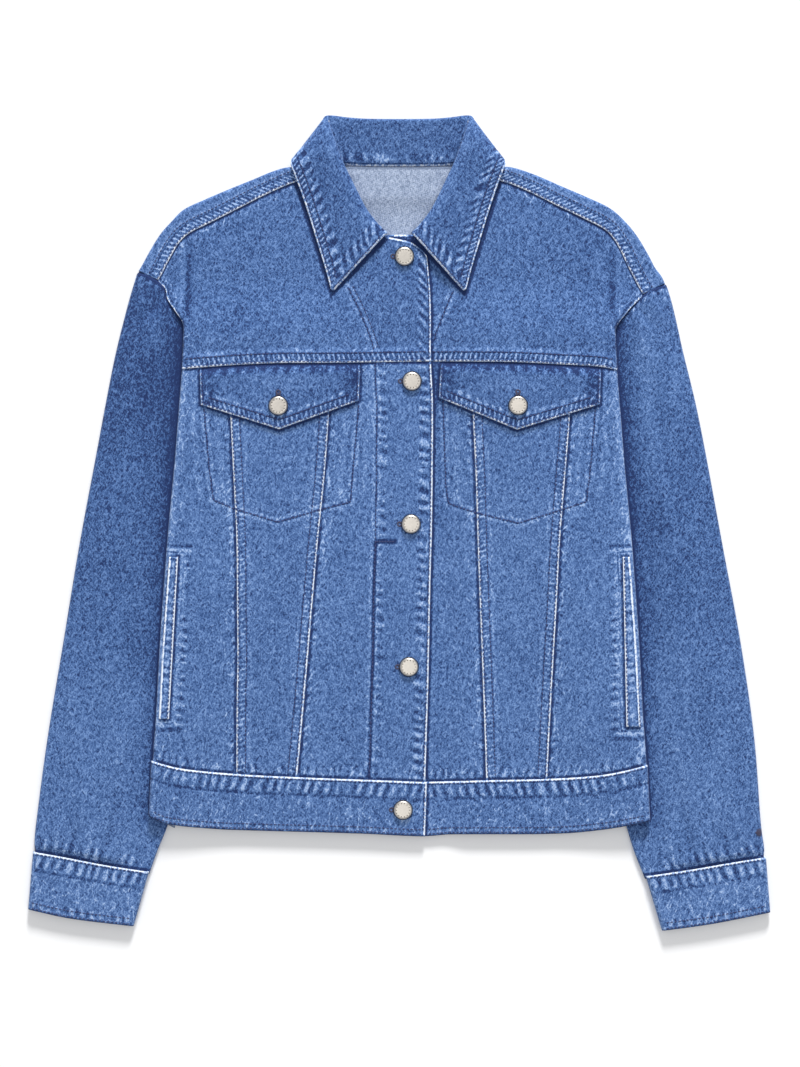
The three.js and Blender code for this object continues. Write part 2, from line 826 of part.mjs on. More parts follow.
// Cuffs: flattened bands, open at both ends
for (const [name, side] of Object.entries(SIDES)) {
  const { sign, cuffSeam, cuffHem } = side;
  const seam = smoothReading(cuffSeam.x, cuffSeam.y);
  const foot = smoothReading(cuffHem.x, cuffHem.y);
  const radius = CUFF_HEIGHT / 2;
  const arc = 5;
  const flat = 5;
  const columns = 2 * (arc + flat);
  // Once round the section: over the top from the outer fold, then back beneath.
  const loop = (share, v, inset) => {
    const at = share * columns;
    const outerX = lerp(cuffSeam.x[0], cuffHem.x[0], v);
    const innerX = lerp(cuffSeam.x[cuffSeam.x.length - 1], cuffHem.x[cuffHem.x.length - 1], v);
    const from = outerX - sign * radius;
    const to = innerX + sign * radius;
    const r = radius - inset;
    const beneath = at > flat + arc / 2 && at < 2 * flat + 1.5 * arc;
    let x = lerp(from, to, at / flat);
    let z = radius + r;
    if (at > flat && at <= flat + arc) {
      const angle = (Math.PI * (at - flat)) / arc;
      x = to - sign * r * Math.sin(angle);
      z = radius + r * Math.cos(angle);
    } else if (at > 2 * flat + arc) {
      const angle = (Math.PI * (at - 2 * flat - arc)) / arc;
      x = from + sign * r * Math.sin(angle);
      z = radius - r * Math.cos(angle);
    } else if (beneath) {
      x = lerp(to, from, (at - flat - arc) / flat);
      z = radius - r;
    }
    const y = lerp(seam(x) - SEAM_GAP, foot(x), v);
    return new THREE.Vector3(x, y, z);
  };
  const outerWall = (share, v) => loop(share, v, 0);
  const innerWall = (share, v) => loop(share, v, BAND_CLOTH);
  add("cuff_" + name, ringWall(outerWall, innerWall, columns, [0, 0.35, 0.7, 1]));
}

// Waistband fronts, rolled under at the side folds
const BAND_RAISE = { r: 1.4, l: 1 };
const BAND_SIDE = { top: 228.5, foot: 231 };
for (const [name, side] of Object.entries(SIDES)) {
  const { sign } = side;
  const top = sign < 0 ? frontTop : leftFrontTop;
  const seamEnds = [sign * (BAND_SIDE.top - FOLD_INSET), sign < 0 ? 25.4 : -24];
  const hemEnds = [sign * (BAND_SIDE.foot - FOLD_INSET), sign < 0 ? 23.5 : -25];
  const inside = patch({
    top: acrossX(waistSeam, seamEnds[0], seamEnds[1], -SEAM_GAP - 0.1),
    bottom: acrossX(hem, hemEnds[0], hemEnds[1]),
    left: (t) => [lerp(seamEnds[0], hemEnds[0], t), lerp(waistSeam(seamEnds[0]), hem(hemEnds[0]), t)],
    right: (t) => [lerp(seamEnds[1], hemEnds[1], t), lerp(waistSeam(seamEnds[1]), hem(hemEnds[1]), t)],
  });
  const surface = (s, v) => {
    const [x, y] = inside(Math.max(s, 0), v);
    const start = new THREE.Vector3(x, y, top(x, y) + BAND_RAISE[name]);
    if (s >= 0) return start;
    const radius = (start.z - backLift(x, y)) / 2;
    const slope = endSlope(inside, 0, v);
    return rolled(start, sign, -s, { radius, angle: Math.PI, run: SIDE_RETURN, slope });
  };
  const columns = [...TURN, ...spaced(0, 1, 14)];
  add("waistband_" + name, wall(surface, columns, [0, 0.35, 0.7, 1], BAND_CLOTH, -sign));
}

// Back panel and back waistband, under the front and over the sleeves
const BACK_SEAM_Y = 154;
const backSeam = (x) => (Math.abs(x) < 76 ? BACK_SEAM_Y : sideAt(x).armholeY(x));
const returnEnd = (y) => sideHalf(y) - FOLD_INSET - SIDE_RETURN - 2 * SEAM_GAP;
{
  const topHalf = returnEnd(backSeam(-175));
  const footHalf = returnEnd(-225);
  const inside = patch({
    top: acrossX(backSeam, -topHalf, topHalf, -SEAM_GAP),
    bottom: acrossX(waistSeam, -footHalf, footHalf, SEAM_GAP),
    left: downY((y) => -returnEnd(y), backSeam(-topHalf), waistSeam(-footHalf)),
    right: downY(returnEnd, backSeam(topHalf), waistSeam(footHalf)),
  });
  const surface = (s, v) => {
    const [x, y] = inside(s, v);
    return new THREE.Vector3(x, y, backLift(x, y) + CLOTH);
  };
  add("back_panel", wall(surface, spaced(0, 1, 22), spaced(0, 1, 12)));

  const bandSurface = (s, v) => {
    const bandHalf = lerp(BAND_SIDE.top, BAND_SIDE.foot, v) - FOLD_INSET - SIDE_RETURN - SEAM_GAP;
    const x = lerp(-bandHalf, bandHalf, s);
    const y = lerp(waistSeam(x) - SEAM_GAP, hem(x), v);
    return new THREE.Vector3(x, y, backLift(x, y) + BAND_CLOTH);
  };
  add("back_waistband", wall(bandSurface, spaced(0, 1, 22), [0, 0.35, 0.7, 1], BAND_CLOTH));
}

// Back yoke, turned over the shoulders to the front shoulder seams
{
  const collarRise = (x, y) => 2.2 * ease((y - 285) / 18) * ease((118 - Math.abs(x)) / 14);
  const turnHeight = SLEEVE_EDGE;
  const stations = [];
  const addShoulder = (shoulder, sign, order) => {
    for (const i of order) {
      stations.push({
        start: [shoulder.startX[i], sideAt(sign).armholeY(shoulder.startX[i]) + half + 0.1],
        fold: [shoulder.foldX[i], shoulder.foldY[i]],
        seam: [shoulder.seamX[i], shoulder.seamY[i]],
        tip: i === 0,
      });
    }
  };
  const count = SHOULDER_R.foldX.length;
  const forward = Array.from({ length: count }, (_, i) => i);
  addShoulder(SHOULDER_R, -1, forward);
  const neckRow = (sign, i) => ({
    start: [sign * BACK_NECK.startX[i], backSeam(sign * BACK_NECK.startX[i]) + half],
    neck: [sign * BACK_NECK.neckX[i], BACK_NECK.neckY[i]],
  });
  BACK_NECK.startX.forEach((_, i) => stations.push(neckRow(-1, i)));
  [...BACK_NECK.startX.keys()].reverse().forEach((i) => stations.push(neckRow(1, i)));
  addShoulder(SHOULDER_L, 1, forward.reverse());

  // A point at a distance along a station's line: up the back, round the turn and down the front.
  const along = (station, share) => {
    const start = new THREE.Vector2(...station.start);
    if (station.neck) {
      const [x, y] = start.lerp(new THREE.Vector2(...station.neck), share).toArray();
      return new THREE.Vector3(x, y, collarRise(x, y));
    }
    const fold = new THREE.Vector2(...station.fold);
    const seam = new THREE.Vector2(...station.seam);
    const base = collarRise(fold.x, fold.y);
    const topZ = Math.max(turnHeight, base + 6.2);
    const radius = (topZ - base) / 2;
    const out = fold.clone().sub(seam).normalize();
    const turnAt = fold.clone().addScaledVector(out, -radius);
    const upLength = start.distanceTo(turnAt);
    const arcLength = Math.PI * radius;
    const downLength = turnAt.distanceTo(seam);
    const skipped = station.tip ? upLength + arcLength / 2 : 0;
    let distance = lerp(skipped, upLength + arcLength + downLength, share);
    if (distance <= upLength) {
      const [x, y] = start.lerp(turnAt, distance / upLength).toArray();
      return new THREE.Vector3(x, y, collarRise(x, y));
    }
    distance -= upLength;
    if (distance <= arcLength) {
      const angle = distance / radius;
      const p = turnAt.addScaledVector(out, radius * Math.sin(angle));
      return new THREE.Vector3(p.x, p.y, base + radius * (1 - Math.cos(angle)));
    }
    distance -= arcLength;
    const p = turnAt.lerp(seam, distance / downLength);
    const blend = ease(distance / downLength);
    const z = lerp(topZ, frontTop(p.x, p.y) + LAP_RAISE, blend);
    return new THREE.Vector3(p.x, p.y, z);
  };
  const last = stations.length - 1;
  const surface = (s, v) => {
    const at = s * last;
    const i = Math.min(Math.floor(at), last - 1);
    const a = along(stations[i], v);
    const b = along(stations[i + 1], v);
    return a.lerp(b, at - i);
  };
  const rows = [0, 0.2, 0.4, 0.55, 0.65, 0.74, 0.79, 0.82, 0.845, 0.87, 0.895, 0.92, 0.96, 1];
  add("back_yoke", wall(surface, spaced(0, 1, last), rows), denimInside);
}

// Collar: stand and fall in one folded wall, from the wearer's right point round the neck to the left
const COLLAR_HALF = table(
  [
    "neckX", "neckY", "neckZ",
    "rollX", "rollY", "rollZ",
    "edgeX", "edgeY", "edgeZ",
    "lean",
  ],
  [
    [14, 264, 5.2, 10.5, 266.5, 8.4, 62.5, 211.1, 9.4, 90],
    [22.5, 267.8, 5.2, 19.5, 275, 8.6, 68, 232, 9.6, 90],
    [43, 273.4, 5.2, 31, 290.3, 8.8, 76, 258, 9.9, 90],
    [64, 286.5, 5.2, 43.5, 315, 9, 85, 287, 10.4, 90],
    [78, 303, 5.6, 52, 332.6, 9.2, 93, 310, 11.2, 90],
    [84, 316, 6.4, 58.5, 350, 9.6, 98, 323, 12.6, 88],
    [82, 328, 7.4, 64, 366, 8.6, 100.5, 330, 11, 55],
    [75, 333, 6.6, 67.3, 374, 6.6, 99.8, 333.5, 6, 0],
    [68, 332, 4.8, 62, 375.5, 5.2, 94, 325, 0.1, -60],
    [55, 330.2, 4.2, 47, 375.8, 4.6, 56, 311, 0, -90],
    [27, 328.8, 4.2, 25, 375.8, 4.6, 27, 308, 0, -90],
  ],
);
{
  const columns = Object.keys(COLLAR_HALF);
  const halfRows = COLLAR_HALF.neckX.map((_, i) => {
    const row = {};
    columns.forEach((name) => (row[name] = COLLAR_HALF[name][i]));
    return row;
  });
  const mirrored = (row, sign) => ({
    neck: new THREE.Vector3(sign * row.neckX, row.neckY, row.neckZ),
    roll: new THREE.Vector3(sign * row.rollX, row.rollY, row.rollZ),
    edge: new THREE.Vector3(sign * row.edgeX, row.edgeY, row.edgeZ),
    lean: (row.lean * Math.PI) / 180,
    sign,
  });
  const stations = [
    ...halfRows.map((row) => mirrored(row, -1)),
    ...[...halfRows].reverse().map((row) => mirrored(row, 1)),
  ];
  const foldRadius = 2.6;
  const puff = 1.6;
  // s runs over the stand from 0 to 1, round the roll to 2 and over the fall to 3.
  const section = (station, s) => {
    const { neck, roll, edge, lean, sign } = station;
    const outward = new THREE.Vector3(roll.x - neck.x, roll.y - neck.y, 0).normalize();
    const sideways = new THREE.Vector3(outward.y, -outward.x, 0).multiplyScalar(sign);
    const towardFall = sideways.multiplyScalar(Math.cos(lean)).setZ(Math.sin(lean));
    const centre = roll.clone().addScaledVector(outward, -foldRadius);
    if (s <= 1) {
      const standEnd = centre.clone().addScaledVector(towardFall, -foldRadius);
      return neck.clone().lerp(standEnd, s);
    }
    if (s <= 2) {
      const angle = (s - 1) * Math.PI;
      return centre
        .addScaledVector(towardFall, -foldRadius * Math.cos(angle))
        .addScaledVector(outward, foldRadius * Math.sin(angle));
    }
    const fallStart = centre.addScaledVector(towardFall, foldRadius);
    const t = s - 2;
    const upward = Math.max(Math.sin(lean), 0);
    const settle = lerp((1 - t) ** 3, 1 - t, upward);
    const z = lerp(edge.z, fallStart.z, settle) + upward * puff * Math.sin(Math.PI * Math.sqrt(t));
    return fallStart.lerp(edge, t).setZ(z);
  };
  const last = stations.length - 1;
  const surface = (s, v) => {
    const at = v * last;
    const i = Math.min(Math.floor(at), last - 1);
    return section(stations[i], s).lerp(section(stations[i + 1], s), at - i);
  };
  const ss = [0, 0.33, 0.67, 1, 1.2, 1.4, 1.6, 1.8, 2, 2.2, 2.4, 2.6, 2.8, 3];
  add("collar", wall(surface, ss, spaced(0, 1, last), COLLAR_CLOTH));
}

// Pocket flaps, on the panels just below the yoke seam
const FLAP_CLOTH = 1.8;
FLAPS.side.forEach((name, i) => {
  const { sign } = SIDES[name];
  const row = {};
  Object.keys(FLAPS).forEach((key) => (row[key] = FLAPS[key][i]));
  const foot = reading(
    [row.bottomOuterX, row.pointX, row.bottomInnerX],
    [row.outerY, row.pointY, row.innerY],
  );
  const pointShare = (row.pointX - row.bottomOuterX) / (row.bottomInnerX - row.bottomOuterX);
  const top = sign < 0 ? frontTop : leftFrontTop;
  const surface = (s, v) => {
    const u = s < 0.5 ? 2 * s * pointShare : lerp(pointShare, 1, 2 * s - 1);
    const xTop = lerp(row.topOuterX, row.topInnerX, u);
    const xFoot = lerp(row.bottomOuterX, row.bottomInnerX, u);
    const x = lerp(xTop, xFoot, v);
    const y = lerp(yokeSeam(xTop) - SEAM_GAP - 0.2, foot(xFoot), v);
    return new THREE.Vector3(x, y, top(x, y) + LAP_RAISE + CLEAR + FLAP_CLOTH);
  };
  add("pocket_flap_" + name, wall(surface, spaced(0, 1, 8), spaced(0, 1, 3), FLAP_CLOTH, -sign));
});

// Hand pocket welts, on the side fronts beside the side folds
const WELT_CLOTH = 1.4;
WELTS.side.forEach((name, i) => {
  const { sign } = SIDES[name];
  const top = sign < 0 ? frontTop : leftFrontTop;
  const surface = (s, v) => {
    const y = lerp(WELTS.topY[i], WELTS.bottomY[i], v);
    const inner = lerp(WELTS.topInner[i], WELTS.bottomInner[i], v);
    const outer = Math.min(lerp(WELTS.topOuter[i], WELTS.bottomOuter[i], v), sideHalf(y) - FOLD_INSET);
    const x = sign * lerp(outer, inner, s);
    return new THREE.Vector3(x, y, top(x, y) + CLEAR + WELT_CLOTH);
  };
  add("pocket_welt_" + name, wall(surface, [0, 0.5, 1], spaced(0, 1, 8), WELT_CLOTH, -sign));
});

// Shank buttons: a dished disc with a rounded rim
function buttonProfile() {
  const rim = 0.5;
  return [
    [0, 0],
    [BUTTON_RADIUS - 0.8, 0],
    [BUTTON_RADIUS, 0.9],
    [BUTTON_RADIUS, BUTTON_HEIGHT - rim - 0.4],
    [BUTTON_RADIUS - rim, BUTTON_HEIGHT - 0.1],
    [BUTTON_RADIUS - 1.3, BUTTON_HEIGHT],
    [BUTTON_RADIUS - 2.2, BUTTON_HEIGHT - 0.5],
    [0, BUTTON_HEIGHT - 0.6],
  ].map(([radius, z]) => new THREE.Vector2(radius, z));
}
// What each front button stands on: the yoke, the raised button band or the waistband.
const BAND_LAYERS = {
  front_button_1: 0,
  front_button_2: BAND_RELIEF,
  front_button_3: BAND_RELIEF,
  front_button_4: BAND_RELIEF,
  front_button_5: BAND_RAISE.r,
};
BUTTON_PLACES.name.forEach((name, i) => {
  const x = BUTTON_PLACES.x[i];
  const y = BUTTON_PLACES.y[i];
  const onFlap = name.startsWith("flap");
  const top = x > 40 ? leftFrontTop : frontTop;
  const layers = onFlap ? LAP_RAISE + CLEAR + FLAP_CLOTH : BAND_LAYERS[name];
  const geometry = new THREE.LatheGeometry(buttonProfile(), 18);
  geometry.rotateX(Math.PI / 2);
  geometry.translate(x, y, top(x, y) + layers + CLEAR);
  add(name, geometry, metal);
});

// The origin is the middle of the jacket's box, on the surface that it lies on.
const box = new THREE.Box3().setFromObject(jacket);
const middle = box.getCenter(new THREE.Vector3());
jacket.position.set(-middle.x, -middle.y, -box.min.z);

export default jacket;
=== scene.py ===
import math

import bmesh
import bpy
import numpy as np
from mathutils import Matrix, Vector
from mathutils.bvhtree import BVHTree


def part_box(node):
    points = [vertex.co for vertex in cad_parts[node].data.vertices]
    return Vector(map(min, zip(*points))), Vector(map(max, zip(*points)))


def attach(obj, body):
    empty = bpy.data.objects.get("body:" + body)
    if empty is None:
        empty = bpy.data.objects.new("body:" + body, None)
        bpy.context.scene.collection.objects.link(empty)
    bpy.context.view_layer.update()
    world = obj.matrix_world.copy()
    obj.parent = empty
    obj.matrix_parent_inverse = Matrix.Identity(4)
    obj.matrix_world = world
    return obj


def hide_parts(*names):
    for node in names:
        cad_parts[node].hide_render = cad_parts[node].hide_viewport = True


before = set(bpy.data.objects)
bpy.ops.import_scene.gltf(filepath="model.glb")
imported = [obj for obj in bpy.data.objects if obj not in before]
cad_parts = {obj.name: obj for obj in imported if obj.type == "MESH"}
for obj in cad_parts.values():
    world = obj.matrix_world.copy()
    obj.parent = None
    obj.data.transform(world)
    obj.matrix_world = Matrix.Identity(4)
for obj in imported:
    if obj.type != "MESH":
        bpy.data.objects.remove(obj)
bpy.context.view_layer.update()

MM = 0.001
MIDDLE = (0.25, 0.30)  # from the photo's middle line to the middle of the jacket's box, in mm
STEP = 2.2  # mesh spacing over the cloth, in mm

# sizes, in mm
CLOTH = 1.3
BAND_CLOTH = 2.0
FRONT_HEIGHT = 6.6
SLEEVE_PRESSED = 4.8
SLEEVE_EDGE = 7.0
SLEEVE_PUFF = 2.0
BACK_OVER_SLEEVE = 5.2
UNDER_FRONT_DROP = 2.2
CUFF_HEIGHT = 8.0
LAP_RAISE = 0.8
SIDE_RETURN = 20.0
SLEEVE_RETURN = 12.0
FOLD_INSET = 4.0
HIDDEN_EDGE = 50.0
TUCK = 5.0  # how far a piece runs on under its neighbour
TUCK_DROP = 0.7
SLEEVE_TUCK = 2.4
SLEEVE_DROP = 2.0


def table(columns, rows):
    return {name: np.array([row[i] for row in rows], float) for i, name in enumerate(columns.split())}


BODY_SIDE = table("y half", [
    (200, 199), (177, 199.2), (140, 200.8), (103, 203.8), (52, 207.9),
    (-16, 214.4), (-108, 221.3), (-182, 225.4), (-221, 228.4), (-272, 230.9)])
SLEEVE_EDGES = table("y outer_r inner_r outer_l inner_l", [
    (230, -241, -52, 241.5, 52), (201, -249.8, -61, 250.7, 61), (157, -260.8, -75, 260.8, 74),
    (112, -270, -89, 272, 88), (68, -278.3, -103, 281.1, 102), (-20, -294.9, -132, 297.6, 130),
    (-108, -309.6, -160, 314.2, 158), (-196, -324.3, -188, 327.1, 185),
    (-278, -335.4, -214.5, 333.8, 211), (-300, -337, -223.5, 336.8, 218),
    (-321, -338.5, -231, 338.3, 226.5)])
ARMHOLE = {
    "r": table("x y", [
        (-241, 230), (-231.7, 227.7), (-222.3, 222.2), (-216.5, 217), (-213.9, 206.5), (-207.5, 197),
        (-200.1, 186.3), (-180, 178), (-140, 168), (-106, 160), (-76, 154)]),
    "l": table("x y", [
        (245.2, 219), (231.8, 214.5), (224, 209.5), (217, 202.7), (210.7, 196.6), (200.1, 183.3),
        (180, 177), (140, 168), (106, 160), (76, 154)])}
SHOULDER = {
    "r": table("startX foldX foldY seamX seamY", [
        (-236, -240.7, 231.9, -222.3, 223.6), (-231.7, -236, 240, -219, 229),
        (-222.3, -230, 251, -214, 239), (-216.5, -221, 265.5, -208, 250),
        (-213.9, -211, 277, -202.5, 258.5), (-207.5, -199, 288.7, -193, 267),
        (-200.1, -180, 297.8, -176, 275.5), (-180, -156, 308, -153, 287),
        (-160, -135, 316.5, -132, 297.8), (-140, -118, 323.6, -116, 305.5),
        (-120, -103, 327.5, -102, 311.5), (-106, -91, 327, -90, 315.5)]),
    "l": table("startX foldX foldY seamX seamY", [
        (240, 244.9, 220.5, 224, 210.6), (231.8, 241.5, 227.5, 219.5, 218.5),
        (224, 235.5, 235.5, 215, 227.5), (217, 229.5, 247, 209.5, 238),
        (210.7, 219, 264.5, 204, 250), (200.1, 207.5, 278.3, 197.5, 261),
        (190, 194, 290, 189, 270), (180, 174, 299.7, 169, 280.5),
        (160, 150, 310, 146, 291.5), (140, 124, 321.2, 121, 304),
        (120, 103, 327.5, 102, 312), (106, 91, 327, 90, 315.5)])}
BACK_NECK = table("startX neckX neckY", [
    (88, 76, 325), (74, 61, 327), (52, 44, 328.2), (32, 27, 327.7), (14, 11, 327.6)])
FRONT_NECK = {
    "r": table("x y", [
        (-89, 317.5), (-82, 301), (-68, 284), (-46, 271), (-24, 266), (-6.3, 262.1), (5, 259.9),
        (11, 258), (16.6, 254.4), (21.5, 250.5), (25.5, 245.2)]),
    "l": table("x y", [
        (89, 317.5), (82, 301), (68, 284), (46, 271), (24, 266), (8, 265.4), (-8, 265.4), (-21, 264)])}
YOKE_SEAM = table("x y", [
    (-201, 141), (-154, 144.6), (-112, 146.5), (-70, 146.8), (29, 148.4), (70, 148), (109, 147.3),
    (147, 145.4), (184, 143.2), (201, 140)])
FRONT_EDGE = table("y x", [
    (245.2, 25.5), (205, 28.7), (148.4, 29), (109, 30.8), (-3, 29.9), (-61, 28.3), (-149, 26.5),
    (-239, 23.6)])
PANEL_SEAMS = table("y outer_r inner_r inner_l outer_l", [
    (148, -157, -61.5, 66, 159), (99, -155.7, -64.7, 67.3, 156.9), (41, -152.8, -69.1, 70, 152.3),
    (-16, -150.1, -75, 71.8, 147.7), (-77, -149.6, -80.5, 74, 144.5), (-125, -149.3, -84.6, 75.9, 141.7),
    (-172, -150.1, -88.8, 77.7, 139.1), (-234, -150.4, -94.6, 79.8, 136)])
WAIST_SEAM = table("x y", [
    (-228.7, -218.9), (-200.1, -226.2), (-146.7, -231.7), (-93.8, -234.5), (-6.3, -237.8),
    (25.3, -238.9), (79, -237.4), (137.5, -236), (179.9, -233), (205.6, -228.6), (228.3, -222.7)])
HEM = table("x y", [
    (-231, -270), (-213, -277.4), (-167.9, -282.4), (-146.7, -283.4), (-36.3, -286.6), (23.5, -289.2),
    (48.3, -287.5), (147.7, -286.6), (192.7, -282), (231, -274.6)])
CUFF_SEAM = {
    "r": table("x y", [(-338, -303), (-311, -307.7), (-269, -315.7), (-231, -321.5)]),
    "l": table("x y", [(338, -308), (302.6, -313.6), (267.3, -319.7), (227, -325.6)])}
CUFF_HEM = {
    "r": table("x y", [(-342.5, -356.5), (-304, -364.8), (-245.2, -372.1)]),
    "l": table("x y", [(342, -359.3), (288, -369.9), (242.1, -376.3)])}
FLAPS = {
    "r": {"topOuter": -183.8, "topInner": -36, "footOuter": -182.4, "footInner": -37.4,
          "outerY": 108.1, "pointX": -110.6, "pointY": 85.6, "innerY": 112.2},
    "l": {"topOuter": 185.4, "topInner": 38.2, "footOuter": 184.1, "footInner": 36.2,
          "outerY": 108.6, "pointX": 107.9, "pointY": 85.3, "innerY": 115}}
WELTS = {
    "r": {"top": -31.6, "foot": -180.6, "outerTop": 213.1, "outerFoot": 224, "innerTop": 203.4,
          "innerFoot": 211.8},
    "l": {"top": -31.6, "foot": -187.8, "outerTop": 216.1, "outerFoot": 222.5, "innerTop": 205.1,
          "innerFoot": 208.4}}
FRONT_BUTTONS = ["front_button_%d" % i for i in range(1, 6)]
FLAP_BUTTONS = ["flap_button_r", "flap_button_l"]

# Broad folds of the fronts and of the sleeves, as the part has them
FOLDS = table("x y length width rise lean", [
    (-212, 215, 60, 12, -1.2, 0.1), (210, 205, 60, 12, -1.2, -0.1), (-120, 215, 70, 26, 0.7, 0.5),
    (125, 210, 80, 26, 0.7, -0.5), (-185, 60, 80, 16, 0.6, 0.1), (182, 20, 90, 16, 0.6, -0.1),
    (-120, -70, 120, 30, 0.6, 0), (108, -90, 120, 30, 0.6, 0), (-30, -120, 110, 20, 0.5, 0.05),
    (52, -60, 120, 16, -0.4, 0)])
SLEEVE_FOLDS = table("x y length width rise lean", [
    (-262, 60, 120, 14, 0.9, 0.15), (-285, -120, 130, 14, 0.9, 0.15), (-300, -210, 70, 10, 0.8, 0.1),
    (-245, -60, 90, 10, 0.6, 0.1), (262, 70, 130, 14, 0.9, -0.15), (287, -110, 140, 14, 0.9, -0.15),
    (300, -220, 70, 10, 0.8, -0.1), (247, -60, 90, 10, 0.6, -0.1)])


# readings
def curve(at, to):
    """A smooth reading of one list against another, carried on straight past both ends."""
    order = np.argsort(at)
    keys, values = np.asarray(at, float)[order], np.asarray(to, float)[order]
    slopes = np.zeros(len(keys))
    for i in range(len(keys)):
        low, high = max(i - 1, 0), min(i + 1, len(keys) - 1)
        slopes[i] = (values[high] - values[low]) / (keys[high] - keys[low])

    def read(x):
        x = np.asarray(x, float)
        i = np.clip(np.searchsorted(keys, x), 1, len(keys) - 1)
        step = keys[i] - keys[i - 1]
        t = np.clip((x - keys[i - 1]) / step, 0, 1)
        level = values[i - 1] * (1 + 2 * t) * (1 - t) ** 2 + values[i] * t * t * (3 - 2 * t)
        bend = slopes[i - 1] * step * t * (1 - t) ** 2 + slopes[i] * step * t * t * (t - 1)
        past = slopes[0] * np.minimum(x - keys[0], 0) + slopes[-1] * np.maximum(x - keys[-1], 0)
        return level + bend + past

    return read


def straight(at, to):
    order = np.argsort(at)
    keys, values = np.asarray(at, float)[order], np.asarray(to, float)[order]
    return lambda x: np.interp(x, keys, values)


def ease(t):
    t = np.clip(t, 0, 1)
    return t * t * (3 - 2 * t)


def blend(a, b, t):
    return a + (b - a) * t


def wobble(seed, spacing):
    """A smooth uneven level from -1 to 1 along a length, the same each time."""
    levels = np.random.default_rng(seed).uniform(-1, 1, 600)

    def read(x):
        x = np.asarray(x, float) / spacing + 300
        i = np.clip(np.floor(x).astype(int), 0, 598)
        t = ease(x - i)
        return blend(levels[i], levels[i + 1], t)

    return read


side_half = curve(BODY_SIDE["y"], BODY_SIDE["half"])
yoke_seam = curve(YOKE_SEAM["x"], YOKE_SEAM["y"])
waist_seam = curve(WAIST_SEAM["x"], WAIST_SEAM["y"])
hem = curve(HEM["x"], HEM["y"])
front_edge = curve(FRONT_EDGE["y"], FRONT_EDGE["x"])
SIDES = {}
for key, sign in (("r", -1), ("l", 1)):
    SIDES[key] = {
        "sign": sign,
        "outer": curve(SLEEVE_EDGES["y"], SLEEVE_EDGES["outer_" + key]),
        "inner": curve(SLEEVE_EDGES["y"], SLEEVE_EDGES["inner_" + key]),
        "outer_seam": curve(PANEL_SEAMS["y"], PANEL_SEAMS["outer_" + key]),
        "inner_seam": curve(PANEL_SEAMS["y"], PANEL_SEAMS["inner_" + key]),
        "armhole": straight(ARMHOLE[key]["x"], ARMHOLE[key]["y"]),
        "cuff_seam": curve(CUFF_SEAM[key]["x"], CUFF_SEAM[key]["y"]),
        "cuff_hem": curve(CUFF_HEM[key]["x"], CUFF_HEM[key]["y"]),
    }


# heights of the laid layers
def sleeve_inner(x, y):
    y = np.minimum(y, 160)
    return np.where(x < 0, np.abs(SIDES["r"]["inner"](y)), SIDES["l"]["inner"](y))


def back_lift(x, y):
    return BACK_OVER_SLEEVE * ease((np.abs(x) - sleeve_inner(x, y) + 44) / 30)


def front_lift(x, y):
    across = ease((np.abs(x) - sleeve_inner(x, y) + 75) / 100)
    return BACK_OVER_SLEEVE * across * ease((228 - y) / 62)


def folds_at(folds, x, y):
    rise = np.zeros(np.shape(x))
    for i in range(len(folds["x"])):
        along = (y - folds["y"][i]) / folds["length"][i]
        across = (x - folds["x"][i] - folds["lean"][i] * (y - folds["y"][i])) / folds["width"][i]
        rise = rise + folds["rise"][i] * np.exp(-along * along - across * across)
    return rise


def front_top(x, y):
    return FRONT_HEIGHT + front_lift(x, y) + folds_at(FOLDS, x, y)


def left_front_top(x, y):
    return front_top(x, y) - UNDER_FRONT_DROP * ease((66 - x) / 28)


def sleeve_top(side, x, y):
    body_edge = side_half(y)
    outer_edge = np.abs(side["outer"](y))
    out = np.abs(x) - body_edge
    free = ease((out - 2) / 36)
    across = np.clip(out / (outer_edge - body_edge), 0, 1)
    swell = np.sin(math.pi * across) * free
    level = blend(SLEEVE_PRESSED, SLEEVE_EDGE, free) + SLEEVE_PUFF * swell
    return level + folds_at(SLEEVE_FOLDS, x, y) * swell


# lines
class Line:
    """A line of points seen from above, with its length measured along it."""

    def __init__(self, x, y):
        self.points = np.stack([np.asarray(x, float), np.asarray(y, float)], axis=1)
        step = np.hypot(*np.diff(self.points, axis=0).T)
        self.at = np.concatenate([[0], np.cumsum(step)])

    def near(self, x, y):
        """How far each place is from the line, and how far along the line it is."""
        best = np.full(np.shape(x), np.inf)
        along = np.zeros(np.shape(x))
        for a, b, start, end in zip(self.points[:-1], self.points[1:], self.at[:-1], self.at[1:]):
            d = b - a
            t = np.clip(((x - a[0]) * d[0] + (y - a[1]) * d[1]) / max(d @ d, 1e-9), 0, 1)
            far = np.hypot(x - a[0] - t * d[0], y - a[1] - t * d[1])
            closer = far < best
            best = np.where(closer, far, best)
            along = np.where(closer, start + t * (end - start), along)
        return best, along

    def place(self, at):
        return np.interp(at, self.at, self.points[:, 0]), np.interp(at, self.at, self.points[:, 1])

    def beside(self, offset):
        """The line moved to the left of its own direction, with its corners kept."""
        step = np.diff(self.points, axis=0)
        step /= np.maximum(np.hypot(step[:, 0], step[:, 1]), 1e-9)[:, None]
        normal = np.stack([-step[:, 1], step[:, 0]], 1)
        before, after = np.vstack([normal[:1], normal]), np.vstack([normal, normal[-1:]])
        turn = 1 + np.sum(before * after, axis=1)[:, None]
        moved = self.points + offset * (before + after) / turn
        return Line(moved[:, 0], moved[:, 1])

    def part(self, start, end):
        """A stretch of the line, from one length along it to another."""
        end = self.at[-1] + end if end <= 0 else end
        at = np.concatenate([[start], self.at[(self.at > start) & (self.at < end)], [end]])
        return Line(np.interp(at, self.at, self.points[:, 0]), np.interp(at, self.at, self.points[:, 1]))


def down_line(read, y0, y1, shift=0.0):
    y = np.linspace(y0, y1, 60)
    return Line(read(y) + shift, y)


